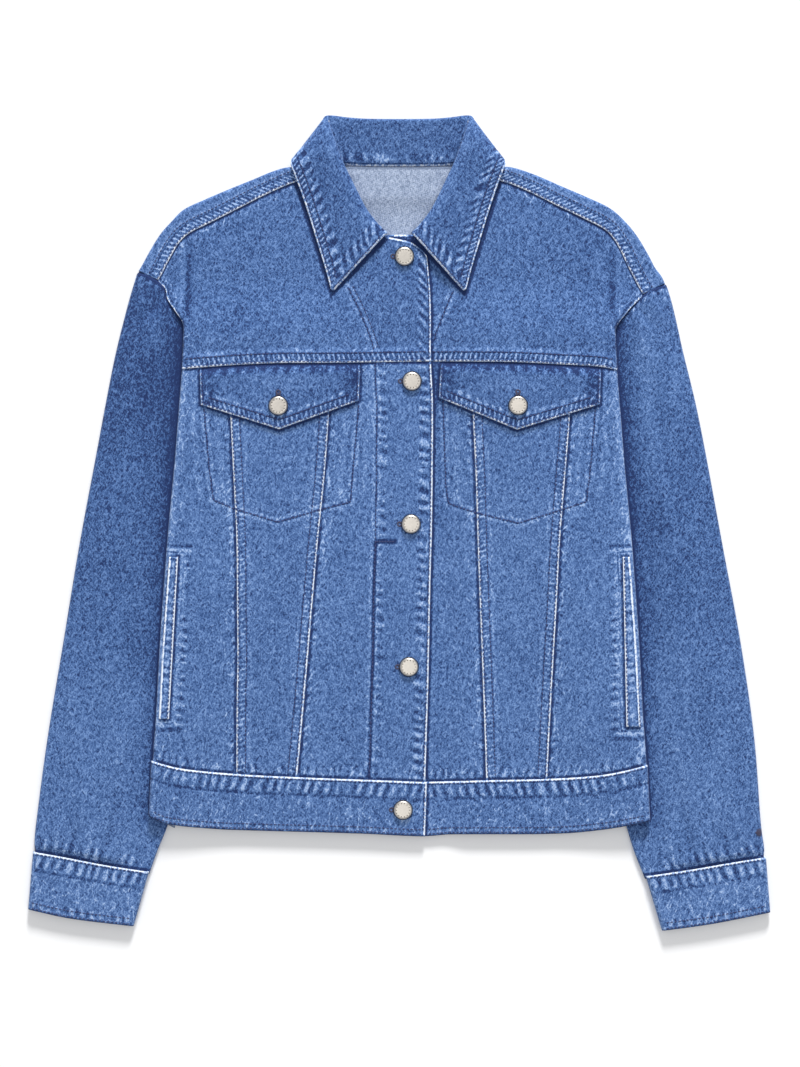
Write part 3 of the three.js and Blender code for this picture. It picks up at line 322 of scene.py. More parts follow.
def across_line(read, x0, x1, shift=0.0):
    x = np.linspace(x0, x1, 60)
    return Line(x, read(x) + shift)


def outside_of(corners, x, y):
    """How far each place is outside a convex outline, less than 0 inside it. Corners run counterclockwise."""
    corners = np.asarray(corners, float)
    far = np.full(np.shape(x), -99.0)
    for a, b in zip(corners, np.roll(corners, -1, axis=0)):
        d = (b - a) / np.linalg.norm(b - a)
        far = np.maximum(far, (x - a[0]) * d[1] - (y - a[1]) * d[0])
    return far


# Outlines of the pieces that lie on others, counterclockwise, and the sewn lines that mark the cloth
COLLAR_LEAVES = {
    "r": [(-99.8, 328.9), (-62.4, 211.1), (-9.7, 264.8), (-40, 340)],
    "l": [(8.7, 267.3), (60.5, 211.1), (97.1, 328.9), (40, 340)]}
POCKET_BAGS = {
    "r": Line([-179.6, -174.7, -171.9, -171.1, -152.8, -111.9, -71.3, -45.1, -44.4, -41.0, -37.4],
              [104.4, 48.3, 27.1, 20.7, 13.0, 0.5, 12.4, 18.9, 27.1, 69.5, 109.0]),
    "l": Line([40.2, 42.8, 45.4, 69.8, 109.2, 149.2, 171.9, 175.7, 180.2],
              [112.7, 32.7, 17.5, 9.1, -0.5, 11.7, 19.4, 52.0, 106.3])}
FACINGS = {
    "r": Line([-47.4, -38.0, -29.5, -25.0, -23.7], [216.7, 198.0, 178.0, 165.0, 158.1]),
    "l": Line([49.2, 42.0, 36.5, 33.0, 31.7], [213.0, 196.0, 182.0, 172.0, 166.1])}
BAG_CORNERS = {
    "r": [
        [(-171, 30), (-169, 20), (-162.5, 18), (-164, 30)],
        [(-53, 28), (-52, 17), (-45, 18.5), (-45, 29)]],
    "l": [
        [(44.5, 30), (45.5, 18.5), (53, 16), (52.5, 28)],
        [(164, 28), (163, 17), (171, 19.5), (171, 30)]]}
BAND_WIDTH = 51.8
BAND_STEP_Y = -17.5


def flap_outline(key):
    flap = FLAPS[key]
    corners = [
        (flap["topOuter"], yoke_seam(flap["topOuter"]) + 5), (flap["footOuter"], flap["outerY"]),
        (flap["pointX"], flap["pointY"]), (flap["footInner"], flap["innerY"]),
        (flap["topInner"], yoke_seam(flap["topInner"]) + 5)]
    return corners if key == "r" else corners[::-1]


def welt_outline(key):
    welt = WELTS[key]
    corners = [
        (welt["outerTop"], welt["top"]), (welt["outerFoot"], welt["foot"]),
        (welt["innerFoot"], welt["foot"]), (welt["innerTop"], welt["top"])]
    return [(-x, y) for x, y in corners] if key == "r" else corners[::-1]


right_neck = straight(FRONT_NECK["r"]["x"], FRONT_NECK["r"]["y"])


def bare_of(key, x, y, outlines):
    """How far each place of a front is from the pieces that lie on it."""
    far = np.full(np.shape(x), 99.0)
    for outline in outlines:
        far = np.minimum(far, outside_of(outline, x, y))
    return np.minimum(far, np.maximum(x - front_edge(y), y - right_neck(x))) if key == "l" else far


def imprint_at(key, x, y):
    """How far each place of a front is from the sewn lines of what lies under it."""
    far = np.minimum(POCKET_BAGS[key].near(x, y)[0], FACINGS[key].near(x, y)[0])
    for corner in BAG_CORNERS[key]:
        far = np.minimum(far, np.abs(outside_of(corner, x, y)) + 0.7)
    far = np.minimum(far, np.abs(outside_of(welt_outline(key), x, y) - 4.4) + 0.3)
    if key == "r":
        band = np.abs(x - front_edge(y) + BAND_WIDTH)
        far = np.minimum(far, np.where(y < yoke_seam(x), band, 99.0))
    return far


def bag_fade(key, x, y):
    """The paler strips where the edges of the pocket's bag press through."""
    far = POCKET_BAGS[key].near(x, y)[0]
    inside = ease((y - 18) / 10) * ease((118 - y) / 10)
    return inside * (0.10 * np.exp(-((far - 10.5) / 3.2) ** 2) - 0.06 * np.exp(-((far - 4.5) / 2.5) ** 2))


# grids of points
def shares(length, first=0.0, last=0.0, step=None):
    """Even shares of a length, drawn close together near an end that has a turned edge."""
    step = step or STEP
    fine = [0.0, 0.35, 0.8, 1.5, 2.6, 4.2]
    start = [f for f in fine if first] or [0.0]
    end = [f for f in fine if last] or [0.0]
    count = max(int((length - start[-1] - end[-1]) / step), 2)
    middle = np.linspace(start[-1], length - end[-1], count + 1)
    places = start[:-1] + list(middle) + [length - f for f in reversed(end[:-1])]
    return np.array(places) / length


def patch(us, vs, top, bottom, left, right):
    """Points inside four edges, blended so that each edge is met. Each edge reads shares into x, y."""
    upper, lower = np.stack(top(us), -1), np.stack(bottom(us), -1)
    first, last = np.stack(left(vs), -1), np.stack(right(vs), -1)
    u, v = us[None, :, None], vs[:, None, None]
    for edge, a, b in ((first, upper[0], lower[0]), (last, upper[-1], lower[-1])):
        start, end = edge[0].copy(), edge[-1].copy()
        edge += blend((a - start)[None], (b - end)[None], vs[:, None])
    rows = blend(upper[None], lower[None], v)
    columns = blend(first[:, None], last[:, None], u)
    corners = blend(
        blend(upper[0], upper[-1], us[None, :, None]), blend(lower[0], lower[-1], us[None, :, None]), v)
    return rows + columns - corners


def down(read, y0, y1, shift=0.0):
    return lambda t: (read(blend(y0, y1, t)) + shift, blend(y0, y1, t))


def across(read, x0, x1, shift=0.0):
    return lambda t: (blend(x0, x1, t), read(blend(x0, x1, t)) + shift)


def through(read, places, shift=0.0):
    places = np.asarray(places, float)

    def edge(t):
        x = np.interp(t * (len(places) - 1), np.arange(len(places)), places)
        return x, read(x) + shift

    return edge


def rolled(points, outward, radius, angle, run=0.0, first=True):
    """Columns added to a grid of points, which turn its first or last column down and back beneath."""
    edge, near = (points[:, 0], points[:, 1]) if first else (points[:, -1], points[:, -2])
    run_x = near[:, 0] - edge[:, 0]
    slope = (near[:, 1] - edge[:, 1]) / np.where(np.abs(run_x) < 1e-6, 1e-6, run_x)
    slope = np.clip(slope, -1.5, 1.5)
    turns = [(t, 0.0) for t in np.linspace(0, 1, 9)[1:]]
    if np.any(np.asarray(run) > 0):
        turns += [(1.0, t) for t in np.linspace(0, 1, max(int(np.max(run) / (2 * STEP)), 2) + 1)[1:]]
    columns = []
    for turn, back in turns:
        a = angle * turn
        over = outward * (radius * np.sin(a) - run * back)
        drop_z = radius * (1 - np.cos(a))
        columns.append(np.stack([edge[:, 0] + over, edge[:, 1] + over * slope, edge[:, 2] - drop_z], -1))
    added = np.stack(columns, 1)
    return np.concatenate([added[:, ::-1], points], 1) if first else np.concatenate([points, added], 1)


def widened(values, before, after=0):
    """Marks carried on over columns that were added before the first and after the last one."""
    first, last = np.repeat(values[:, :1], before, 1), np.repeat(values[:, -1:], after, 1)
    return np.concatenate([first, values, last], 1)


def smooth_rows(sections, counts):
    """Sections joined by a smooth curve through them, with so many steps from each to the next."""
    sections = np.asarray(sections, float)
    last = len(sections) - 1
    out = []
    for i in range(last):
        p1, p2 = sections[i], sections[i + 1]
        p0 = sections[i - 1] if i > 0 else 2 * p1 - p2
        p3 = sections[i + 2] if i + 2 <= last else 2 * p2 - p1
        for t in np.arange(counts[i]) / counts[i]:
            m1, m2 = (p2 - p0) / 2, (p3 - p1) / 2
            out.append((2 * t**3 - 3 * t**2 + 1) * p1 + (t**3 - 2 * t**2 + t) * m1
                       + (3 * t**2 - 2 * t**3) * p2 + (t**3 - t**2) * m2)
    out.append(sections[last])
    return np.array(out)


def reach(points):
    """Lengths over the cloth to each border of a grid: its first and last column, first and last row."""
    across_step = np.linalg.norm(np.diff(points, axis=1), axis=2)
    down_step = np.linalg.norm(np.diff(points, axis=0), axis=2)
    left = np.concatenate([np.zeros((points.shape[0], 1)), np.cumsum(across_step, 1)], 1)
    top = np.concatenate([np.zeros((1, points.shape[1])), np.cumsum(down_step, 0)], 0)
    return {"left": left, "right": left[:, -1:] - left, "top": top, "foot": top[-1:] - top}


def outward_normals(points):
    du, dv = np.gradient(points, axis=1), np.gradient(points, axis=0)
    normal = np.cross(du, dv)
    normal /= np.maximum(np.linalg.norm(normal, axis=2), 1e-9)[..., None]
    middle = normal[normal.shape[0] // 2, normal.shape[1] // 2, 2]
    return normal if middle > 0 else -normal


# Creases: middle, length, width, rise and the angle of its length from the +X direction, in degrees
CREASES = table("x y length width rise angle", [
    (-30, 138, 14, 3.0, 0.5, 115), (-36, 128, 16, 3.5, -0.5, 125), (-44, 122, 12, 3.0, 0.4, 140),
    (-196, 205, 26, 5.0, -0.8, 80), (-187, 225, 22, 5.0, 0.5, 60), (-176, 165, 30, 7.0, 0.5, 75),
    (196, 206, 26, 5.0, -0.8, 100), (186, 222, 22, 5.0, 0.5, 120), (176, 168, 30, 7.0, 0.5, 105),
    (-150, 190, 40, 9.0, -0.4, 60), (-95, 180, 40, 10.0, 0.4, 75), (100, 180, 44, 10.0, 0.4, 100),
    (150, 195, 40, 9.0, -0.4, 118), (60, 210, 34, 8.0, -0.3, 95), (-55, 200, 34, 8.0, -0.3, 80),
    (-180, 95, 26, 6.0, 0.4, 80), (-178, 20, 34, 7.0, -0.4, 95), (-172, -70, 30, 6.0, 0.4, 85),
    (-186, -120, 26, 5.0, -0.4, 95), (-176, -190, 20, 5.0, 0.5, 80), (-200, -200, 16, 4.0, -0.4, 110),
    (178, 90, 26, 6.0, 0.4, 100), (176, 10, 34, 7.0, -0.4, 85), (172, -80, 30, 6.0, 0.4, 95),
    (184, -130, 26, 5.0, -0.4, 85), (172, -190, 20, 5.0, 0.5, 105), (196, -200, 16, 4.0, -0.4, 70),
    (-115, -30, 46, 10.0, -0.3, 88), (-108, -150, 40, 9.0, 0.3, 92), (104, -30, 46, 10.0, -0.3, 92),
    (112, -160, 40, 9.0, 0.3, 88), (-45, -60, 40, 8.0, 0.3, 88), (-52, -170, 36, 7.0, -0.3, 94),
    (56, -140, 40, 8.0, 0.3, 86), (-120, -222, 9, 3.0, 0.5, 80), (-104, -222, 8, 3.0, -0.5, 95),
    (-70, -224, 9, 3.0, 0.5, 100), (-40, -226, 8, 2.6, -0.5, 85), (60, -226, 8, 2.6, 0.5, 95),
    (96, -224, 9, 3.0, -0.5, 82), (120, -223, 8, 3.0, 0.5, 98), (160, -220, 9, 3.0, -0.5, 84)])
SLEEVE_CREASES = table("x y length width rise angle", [
    (-236, 205, 16, 4.0, 0.7, 60), (-228, 196, 16, 4.0, -0.7, 50), (-246, 190, 24, 5.0, -0.5, 75),
    (-226, 170, 30, 6.0, 0.7, 78), (-252, 130, 46, 8.0, 0.7, 82), (-236, 110, 40, 7.0, -0.7, 80),
    (-262, 60, 50, 8.0, -0.6, 84), (-244, 20, 50, 9.0, 0.6, 80), (-272, -10, 44, 8.0, 0.6, 82),
    (-256, -50, 44, 8.0, -0.6, 84), (-282, -80, 44, 7.0, -0.5, 80), (-266, -120, 44, 8.0, 0.6, 82),
    (-300, -150, 40, 7.0, 0.5, 84), (-280, -190, 40, 8.0, -0.6, 80), (-258, -210, 36, 7.0, 0.6, 76),
    (-312, -230, 34, 6.0, -0.5, 86), (-290, -255, 28, 6.0, 0.6, 82), (-262, -270, 24, 5.0, -0.6, 78),
    (-315, -285, 14, 4.0, 0.8, 84), (-300, -290, 14, 4.0, -0.8, 82), (-284, -293, 14, 4.0, 0.8, 86),
    (-268, -297, 14, 4.0, -0.8, 80), (-252, -300, 14, 4.0, 0.8, 84), (-324, -262, 16, 4.0, -0.6, 85),
    (238, 196, 18, 4.0, 0.7, 125), (226, 190, 16, 4.0, -0.7, 130), (246, 184, 24, 5.0, -0.5, 105),
    (226, 160, 30, 6.0, 0.7, 102), (254, 124, 46, 8.0, 0.7, 98), (238, 104, 40, 7.0, -0.7, 100),
    (262, 50, 50, 8.0, -0.6, 96), (246, 14, 50, 9.0, 0.6, 100), (274, -16, 44, 8.0, 0.6, 98),
    (256, -56, 44, 8.0, -0.6, 96), (284, -84, 44, 7.0, -0.5, 100), (264, -126, 44, 8.0, 0.6, 98),
    (302, -150, 40, 7.0, 0.5, 96), (280, -186, 40, 8.0, -0.6, 100), (258, -214, 36, 7.0, 0.6, 104),
    (312, -226, 34, 6.0, -0.5, 94), (290, -258, 28, 6.0, 0.6, 98), (262, -276, 24, 5.0, -0.6, 102),
    (316, -288, 14, 4.0, 0.8, 96), (300, -294, 14, 4.0, -0.8, 98), (284, -297, 14, 4.0, 0.8, 94),
    (268, -300, 14, 4.0, -0.8, 100), (252, -303, 14, 4.0, 0.8, 96), (324, -266, 16, 4.0, -0.6, 95)])


def creases_at(creases, x, y):
    rise = np.zeros(np.shape(x))
    for i in range(len(creases["x"])):
        a = math.radians(creases["angle"][i])
        dx, dy = x - creases["x"][i], y - creases["y"][i]
        along = (dx * math.cos(a) + dy * math.sin(a)) / creases["length"][i]
        side = (dy * math.cos(a) - dx * math.sin(a)) / creases["width"][i]
        rise = rise + creases["rise"][i] * np.exp(-along * along - side * side)
    return rise


def pucker(away, along, near, far, period, seed):
    """A row of uneven puckers along a seam, in a strip from near to far away from it."""
    soft = 0.3 * (far - near)
    strip = ease((away - near) / soft) * ease((far - away) / soft)
    phase = along / period + 0.5 * wobble(seed, 2.2 * period)(along)
    uneven = 0.62 + 0.38 * wobble(seed + 1, 1.7 * period)(along)
    return strip * np.sin(2 * math.pi * (phase + 0.03 * away)) * uneven


def turned_edge(away, radius):
    """How far a turned edge drops as it rounds off over its last bit of width."""
    t = np.clip(1 - away / radius, 0, 1)
    return radius * (1 - np.sqrt(1 - t * t))


# materials
class Value:
    """A socket with the usual operators, which add Math nodes."""

    def __init__(self, finish, socket):
        self.finish, self.socket = finish, socket

    def maths(self, operation, *others):
        node = self.finish.tree.nodes.new("ShaderNodeMath")
        node.operation = operation
        for given, socket in zip((self, *others), node.inputs):
            self.finish.join(given, socket)
        return Value(self.finish, node.outputs[0])

    def __add__(self, other):
        return self.maths("ADD", other)

    def __mul__(self, other):
        return self.maths("MULTIPLY", other)

    def __sub__(self, other):
        return self.maths("SUBTRACT", other)

    def sin(self):
        return self.maths("SINE")

    def least(self, other):
        return self.maths("MINIMUM", other)

    def most(self, other):
        return self.maths("MAXIMUM", other)

    def between(self, low, high):
        """0 up to low, 1 from high, and smooth in between. It falls where low is over high."""
        node = self.finish.tree.nodes.new("ShaderNodeMapRange")
        node.interpolation_type = "SMOOTHSTEP"
        rising = low < high
        numbers = (low, high, 0.0, 1.0) if rising else (high, low, 1.0, 0.0)
        self.finish.join(self, node.inputs[0])
        for socket, number in zip(node.inputs[1:5], numbers):
            socket.default_value = number
        return Value(self.finish, node.outputs[0])


class Finish:
    def __init__(self, name):
        self.material = bpy.data.materials.new(name)
        self.material.use_nodes = True
        self.tree = self.material.node_tree
        self.tree.nodes.clear()

    def join(self, given, socket):
        if isinstance(given, Value):
            self.tree.links.new(given.socket, socket)
        else:
            socket.default_value = given

    def node(self, kind, settings=(), inputs=(), output=0, stops=()):
        node = self.tree.nodes.new(kind)
        for key, value in dict(settings).items():
            setattr(node, key, value)
        for place, (position, colour) in enumerate(stops):
            elements = node.color_ramp.elements
            stop = elements[place] if place < len(elements) else elements.new(position)
            stop.position, stop.color = position, colour
        for key, value in dict(inputs).items():
            self.join(value, node.inputs[key])
        return Value(self, node.outputs[output])

    def mark(self, name):
        return self.node("ShaderNodeAttribute", {"attribute_name": name}, output=2)

    def place(self, scale=(1, 1, 1), turn=0.0):
        """Object coordinates in mm, turned about +Z and then scaled."""
        spot = self.node("ShaderNodeTexCoord", output=3)
        turned = self.node("ShaderNodeVectorRotate", {"rotation_type": "Z_AXIS"},
                           {"Vector": spot, "Angle": math.radians(turn)})
        size = [1000.0 * s for s in scale]
        return self.node("ShaderNodeVectorMath", {"operation": "MULTIPLY"}, {0: turned, 1: size})

    def noise(self, spot, size, detail=2.0, rough=0.5):
        return self.node("ShaderNodeTexNoise", {"noise_dimensions": "3D"},
                         {"Vector": spot, "Scale": 1.0 / size, "Detail": detail, "Roughness": rough})

    def close(self, constants, **varying):
        shader = self.tree.nodes.new("ShaderNodeBsdfPrincipled")
        for key, value in constants.items():
            shader.inputs[key].default_value = value
        for key, value in varying.items():
            self.tree.links.new(value.socket, shader.inputs[key.replace("_", " ")])
        output = self.tree.nodes.new("ShaderNodeOutputMaterial")
        self.tree.links.new(shader.outputs[0], output.inputs[0])
        return self.material


TONE = 0.44  # the level of the wash in the denim's ramp, from 0 dark to 1 white
INDIGO = [
    (0.00, (0.012, 0.030, 0.115, 1)), (0.25, (0.040, 0.098, 0.262, 1)), (0.50, (0.092, 0.180, 0.405, 1)),
    (0.75, (0.165, 0.285, 0.560, 1)), (0.90, (0.38, 0.51, 0.76, 1)), (1.00, (0.78, 0.85, 0.96, 1))]
WRONG_SIDE = [
    (0.00, (0.17, 0.22, 0.33, 1)), (0.50, (0.345, 0.415, 0.56, 1)), (1.00, (0.50, 0.57, 0.70, 1))]


def fine_lines(noise, half):
    """Fine winding lines where a noise passes through its middle level."""
    return (noise - 0.5).maths("ABSOLUTE").between(half, 0.0)


def washed_denim(name, stops, worn=1.0):
    """Stone-washed twill: slubs, worn folds, puckers that are pale on top and dark between, and painted shade
    and shadow lines from its marks.
    """
    f = Finish(name)
    inset, along, ladder = f.mark("inset"), f.mark("along"), f.mark("ladder")
    under, imprint, relief, fade = f.mark("under"), f.mark("imprint"), f.mark("relief"), f.mark("fade")
    rising = f.noise(f.place((1, 0.36, 1), 38), 1.45, 1.0, 0.5)
    falling = f.noise(f.place((1, 0.36, 1), -40), 1.45, 1.0, 0.5)
    upright = f.noise(f.place((1, 0.40, 1), 4), 1.3, 1.0, 0.5)
    speckle = f.noise(f.place((1, 0.8, 1)), 1.0, 1.0, 0.5)
    patchy = f.noise(f.place((1, 0.8, 1)), 9.0, 3.0, 0.6)
    cloudy = f.noise(f.place(), 70.0, 2.0, 0.5)
    chip = f.noise(f.place(), 2.3, 2.0, 0.6)
    slubs = rising.most(falling)
    veins = fine_lines(f.noise(f.place((1, 0.42, 1), 30), 3.4, 0.5, 0.5), 0.045)
    cracks = fine_lines(f.noise(f.place((1, 0.40, 1), 14), 9.0, 1.0, 0.5), 0.034)
    tone = (slubs - 0.56) * 1.35 + (upright - 0.5) * 0.70 + (speckle - 0.5) * 0.90 + veins * 0.24 - 0.055
    # Paler wash and painted shade, as the pieces' marks give them
    tone = (tone + (patchy - 0.5) * 0.16 + (cloudy - 0.5) * 0.16 + TONE).least(0.74) + fade
    tone = tone + cracks * f.mark("crinkle") * 0.36
    # Worn fold lines, the dark groove of the first stitch row and the ladder between two rows
    crown = inset.between(2.2, 1.3) * chip.between(0.16, 0.38)
    groove = inset.between(1.8, 2.4) * inset.between(3.6, 2.7)
    steps = (along * (2 * math.pi / 4.6) + inset * 0.35 + (chip - 0.5) * 2.6).sin() + (chip - 0.5) * 1.6
    band = inset.between(2.2, 3.0) * inset.between(8.8, 7.6)
    second = inset.between(7.6, 8.3) * inset.between(10.0, 9.0)
    ridge = inset.between(9.6, 10.8) * inset.between(14.5, 12.0)
    rungs = ladder * band * (steps.between(-0.1, 0.9) * 0.56 - 0.17)
    tone = tone + rungs - ladder * second * 0.27 - groove * worn * 0.20 + ladder * ridge * 0.13
    # Lines sewn through from beneath, and a painted shadow line beside a piece that lies on this one, with a
    # faint pale ridge past it
    sewn_down = imprint.between(0.4, 1.6) * imprint.between(5.2, 2.6)
    tone = tone + sewn_down * chip.between(0.3, 0.6) * 0.26 - imprint.between(1.7, 0.5) * 0.30
    tone = tone - under.between(3.1, 1.5) * 0.50 + under.between(3.0, 4.0) * under.between(7.0, 4.6) * 0.05
    # Puckers, broken up by wear
    rise = relief + (chip - 0.5) * 0.9 * relief.maths("ABSOLUTE").between(0.0, 0.3)
    tone = tone + rise.between(0.04, 0.50) * 0.31 - rise.between(-0.05, -0.45) * 0.30
    tone = tone.least(0.88) + crown * (0.56 * worn)
    if worn < 1:
        pitch = f.place((2.6, 2.2, 1), 32)
        rows, ends = [f.node("ShaderNodeSeparateXYZ", {}, {0: pitch}, output=axis) for axis in (0, 1)]
        tone = tone - (rows.sin() * ends.sin()).between(0.25, 0.8) * 0.30
    twill = (f.node("ShaderNodeSeparateXYZ", {}, {0: f.place((1, 1, 1), 27)}, output=0)
             * (2 * math.pi / 0.95)).sin()
    thread = twill * 0.09 + slubs * 1.0 + upright * 0.5 + speckle * 0.4 + patchy * 0.25
    bump = f.node("ShaderNodeBump", {}, {"Height": thread, "Strength": 0.6, "Distance": 0.0009})
    colour = f.node("ShaderNodeValToRGB", {}, {"Fac": tone}, stops=stops)
    rough = speckle * 0.12 + 0.80
    constants = {"Sheen Weight": 0.12, "Sheen Roughness": 0.5, "Specular IOR Level": 0.18}
    return f.close(constants, Base_Color=colour, Roughness=rough, Normal=bump)


def thread_finish(name, dark, pale):
    f = Finish(name)
    strand = f.noise(f.place(), 0.9, 2.0, 0.5)
    colour = f.node("ShaderNodeMix", {"data_type": "RGBA"}, {0: strand, 6: dark, 7: pale}, output=2)
    bump = f.node("ShaderNodeBump", {}, {"Height": strand, "Strength": 0.3, "Distance": 0.0003})
    return f.close({"Roughness": 0.62, "Sheen Weight": 0.1}, Base_Color=colour, Normal=bump)


def pewter(name, low, high):
    f = Finish(name)
    dull = f.noise(f.place(), 3.0, 3.0, 0.6)
    fine = f.noise(f.place(), 0.5, 2.0, 0.5)
    colour = f.node("ShaderNodeMix", {"data_type": "RGBA"},
                    {0: dull, 6: low, 7: high}, output=2)
    bump = f.node("ShaderNodeBump", {}, {"Height": fine, "Strength": 0.12, "Distance": 0.0002})
    rough = dull * 0.25 + 0.24
    return f.close({"Metallic": 1.0}, Base_Color=colour, Roughness=rough, Normal=bump)


DENIM = washed_denim("stone_washed_denim", INDIGO)
INSIDE = washed_denim("denim_wrong_side", WRONG_SIDE, 0.5)
THREAD = thread_finish("navy_thread", (0.010, 0.018, 0.085, 1), (0.040, 0.056, 0.18, 1))
HOLE_THREAD = thread_finish("buttonhole_thread", (0.018, 0.018, 0.055, 1), (0.075, 0.065, 0.12, 1))
METAL = pewter("pewter", (0.47, 0.44, 0.40, 1), (0.74, 0.69, 0.62, 1))
# Dark metal: the dimples' own dark marks, and a painted shadow ring on the buttons' rims
TARNISH_AND_PAINTED_SHADOW = pewter("tarnish_and_painted_shadow", (0.06, 0.05, 0.05, 1), (0.12, 0.10, 0.09, 1))


# making cloth pieces
# Marks that the denim's finish reads, with their levels where a piece gives none, lengths in mm
MARKS = {
    "inset": 99.0,  # from a worn turned edge
    "along": 0.0,  # along that edge
    "ladder": 0.0,  # how strongly the ladder between two stitch rows shows
    "under": 99.0,  # from the piece that lies on this one, or from an edge or step of this one; the finish paints a shadow line there
    "imprint": 99.0,  # from a line sewn through from beneath
    "relief": 0.0,  # how high a pucker or crease stands
    "fade": 0.0,  # how much paler the wash is, and below 0 how much darker the cloth is painted as shade
    "crinkle": 0.25}
MADE = {}


def cloth(node, points, marks, thickness=CLOTH, ring=False, up=True, seen=(0.5, 0.5)):
    """One piece of cloth from a grid of points in mm, with its marks, given a thickness inwards.

    At the share seen of its rows and columns its right side faces up, or down where up is False.
    """
    rows, columns = points.shape[:2]
    points = np.concatenate([points[..., :2], np.maximum(points[..., 2:], 0)], 2)
    edges = reach(points)
    size = (edges["left"][:, -1].max() * MM, edges["top"][-1].max() * MM)
    du, dv = np.diff(points, axis=1)[:-1], np.diff(points, axis=0)[:, :-1]
    area = float(np.linalg.norm(np.cross(du, dv), axis=2).sum()) * MM * MM
    bm = bmesh.new()
    bmesh.ops.create_grid(bm, x_segments=columns - 1, y_segments=rows - 1, size=0.5)
    layers = {key: bm.verts.layers.float.new(key) for key in MARKS}
    filled = {key: np.broadcast_to(marks.get(key, MARKS[key]), (rows, columns)) for key in MARKS}
    for v in bm.verts:
        i = round((v.co.x + 0.5) * (columns - 1))
        j = round((0.5 - v.co.y) * (rows - 1))
        x, y, z = points[j, i]
        v.co = ((x + MIDDLE[0]) * MM, (y + MIDDLE[1]) * MM, z * MM)
        for key, layer in layers.items():
            v[layer] = filled[key][j, i]
    if ring:
        bmesh.ops.remove_doubles(bm, verts=bm.verts, dist=1e-6)
        bmesh.ops.recalc_face_normals(bm, faces=bm.faces)
    else:
        bm.normal_update()
        middle = points[int(rows * seen[0]), int(columns * seen[1])]
        spot = Vector(((middle[0] + MIDDLE[0]) * MM, (middle[1] + MIDDLE[1]) * MM, middle[2] * MM))
        nearest = min(bm.faces, key=lambda face: (face.calc_center_median() - spot).length)
        if (nearest.normal.z > 0) != up:
            bmesh.ops.reverse_faces(bm, faces=bm.faces)
    mesh = bpy.data.meshes.new("denim_" + node)
    MADE[node] = BVHTree.FromBMesh(bm)
    bm.to_mesh(mesh)
    bm.free()
    mesh.shade_smooth()
    piece = bpy.data.objects.new("denim_" + node, mesh)
    bpy.context.collection.objects.link(piece)
    mesh.materials.append(DENIM)
    mesh.materials.append(INSIDE)
    solid = piece.modifiers.new("cloth_thickness", "SOLIDIFY")
    solid.thickness, solid.offset, solid.material_offset = thickness * MM, -1.0, 1
    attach(piece, "root")
    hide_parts(node)
    whole = size[0] * size[1]
    min(max(area, 0.31 * whole), whole)
    return piece


# Pieces
def fold_marks(edges, folds, unders=(), ladder=1.0):
    """Marks from the borders of a grid: folds are worn turned edges, unders run on beneath a neighbour."""
    shape = edges["left"].shape
    inset, along = np.full(shape, 99.0), np.zeros(shape)
    for border in folds:
        length = edges["top" if border in ("left", "right") else "left"]
        closer = edges[border] < inset
        inset = np.where(closer, edges[border], inset)
        along = np.where(closer, length, along)
    under = np.full(shape, 99.0)
    for border in unders:
        under = np.minimum(under, edges[border] - TUCK)
    return {"inset": inset, "along": along, "ladder": ladder, "under": under}


def near_borders(distances):
    """How crinkled the cloth is, most along its seams."""
    nearest = np.minimum.reduce(distances)
    return 0.15 + 0.85 * ease((16 - nearest) / 14)


def tucked(edges, borders):
    """How far a grid of points drops to pass beneath its neighbours."""
    past = np.full(edges["left"].shape, 99.0)
    for border in borders:
        past = np.minimum(past, edges[border] - TUCK)
    return TUCK_DROP * ease((2.2 - past) / 2.4)


def with_height(flat, height):
    return np.concatenate([flat, height[..., None]], 2)


def measured(flat):
    """A flat grid's x and y, and the lengths over it to each of its borders."""
    x, y = flat[..., 0], flat[..., 1]
    return x, y, reach(with_height(flat, 0 * x))


def lower_panel(outer, inner, outer_more, inner_more, us, vs):
    """Points of a panel from yoke seam to waist seam, run on past each seam that lies under a neighbour."""
    outer_top = outer(yoke_seam(outer(148))) + outer_more
    inner_top = inner(yoke_seam(inner(148))) + inner_more
    outer_foot = outer(waist_seam(outer(-234))) + outer_more
    inner_foot = inner(waist_seam(inner(-234))) + inner_more
    return patch(
        us, vs,
        across(yoke_seam, outer_top, inner_top, TUCK), across(waist_seam, outer_foot, inner_foot, -TUCK),
        down(outer, yoke_seam(outer_top) + TUCK, waist_seam(outer_foot) - TUCK, outer_more),
        down(inner, yoke_seam(inner_top) + TUCK, waist_seam(inner_foot) - TUCK, inner_more))


LONG = shares(392)


def flap_dip(side, x, y):
    """Room for the pocket flap's top edge below the yoke seam."""
    flap = FLAPS[side]
    low, high = sorted((flap["topOuter"], flap["topInner"]))
    inside = ease((x - low + 1) / 3) * ease((high + 1 - x) / 3)
    return 1.3 * inside * ease(1 - (yoke_seam(x) - y) / 14)


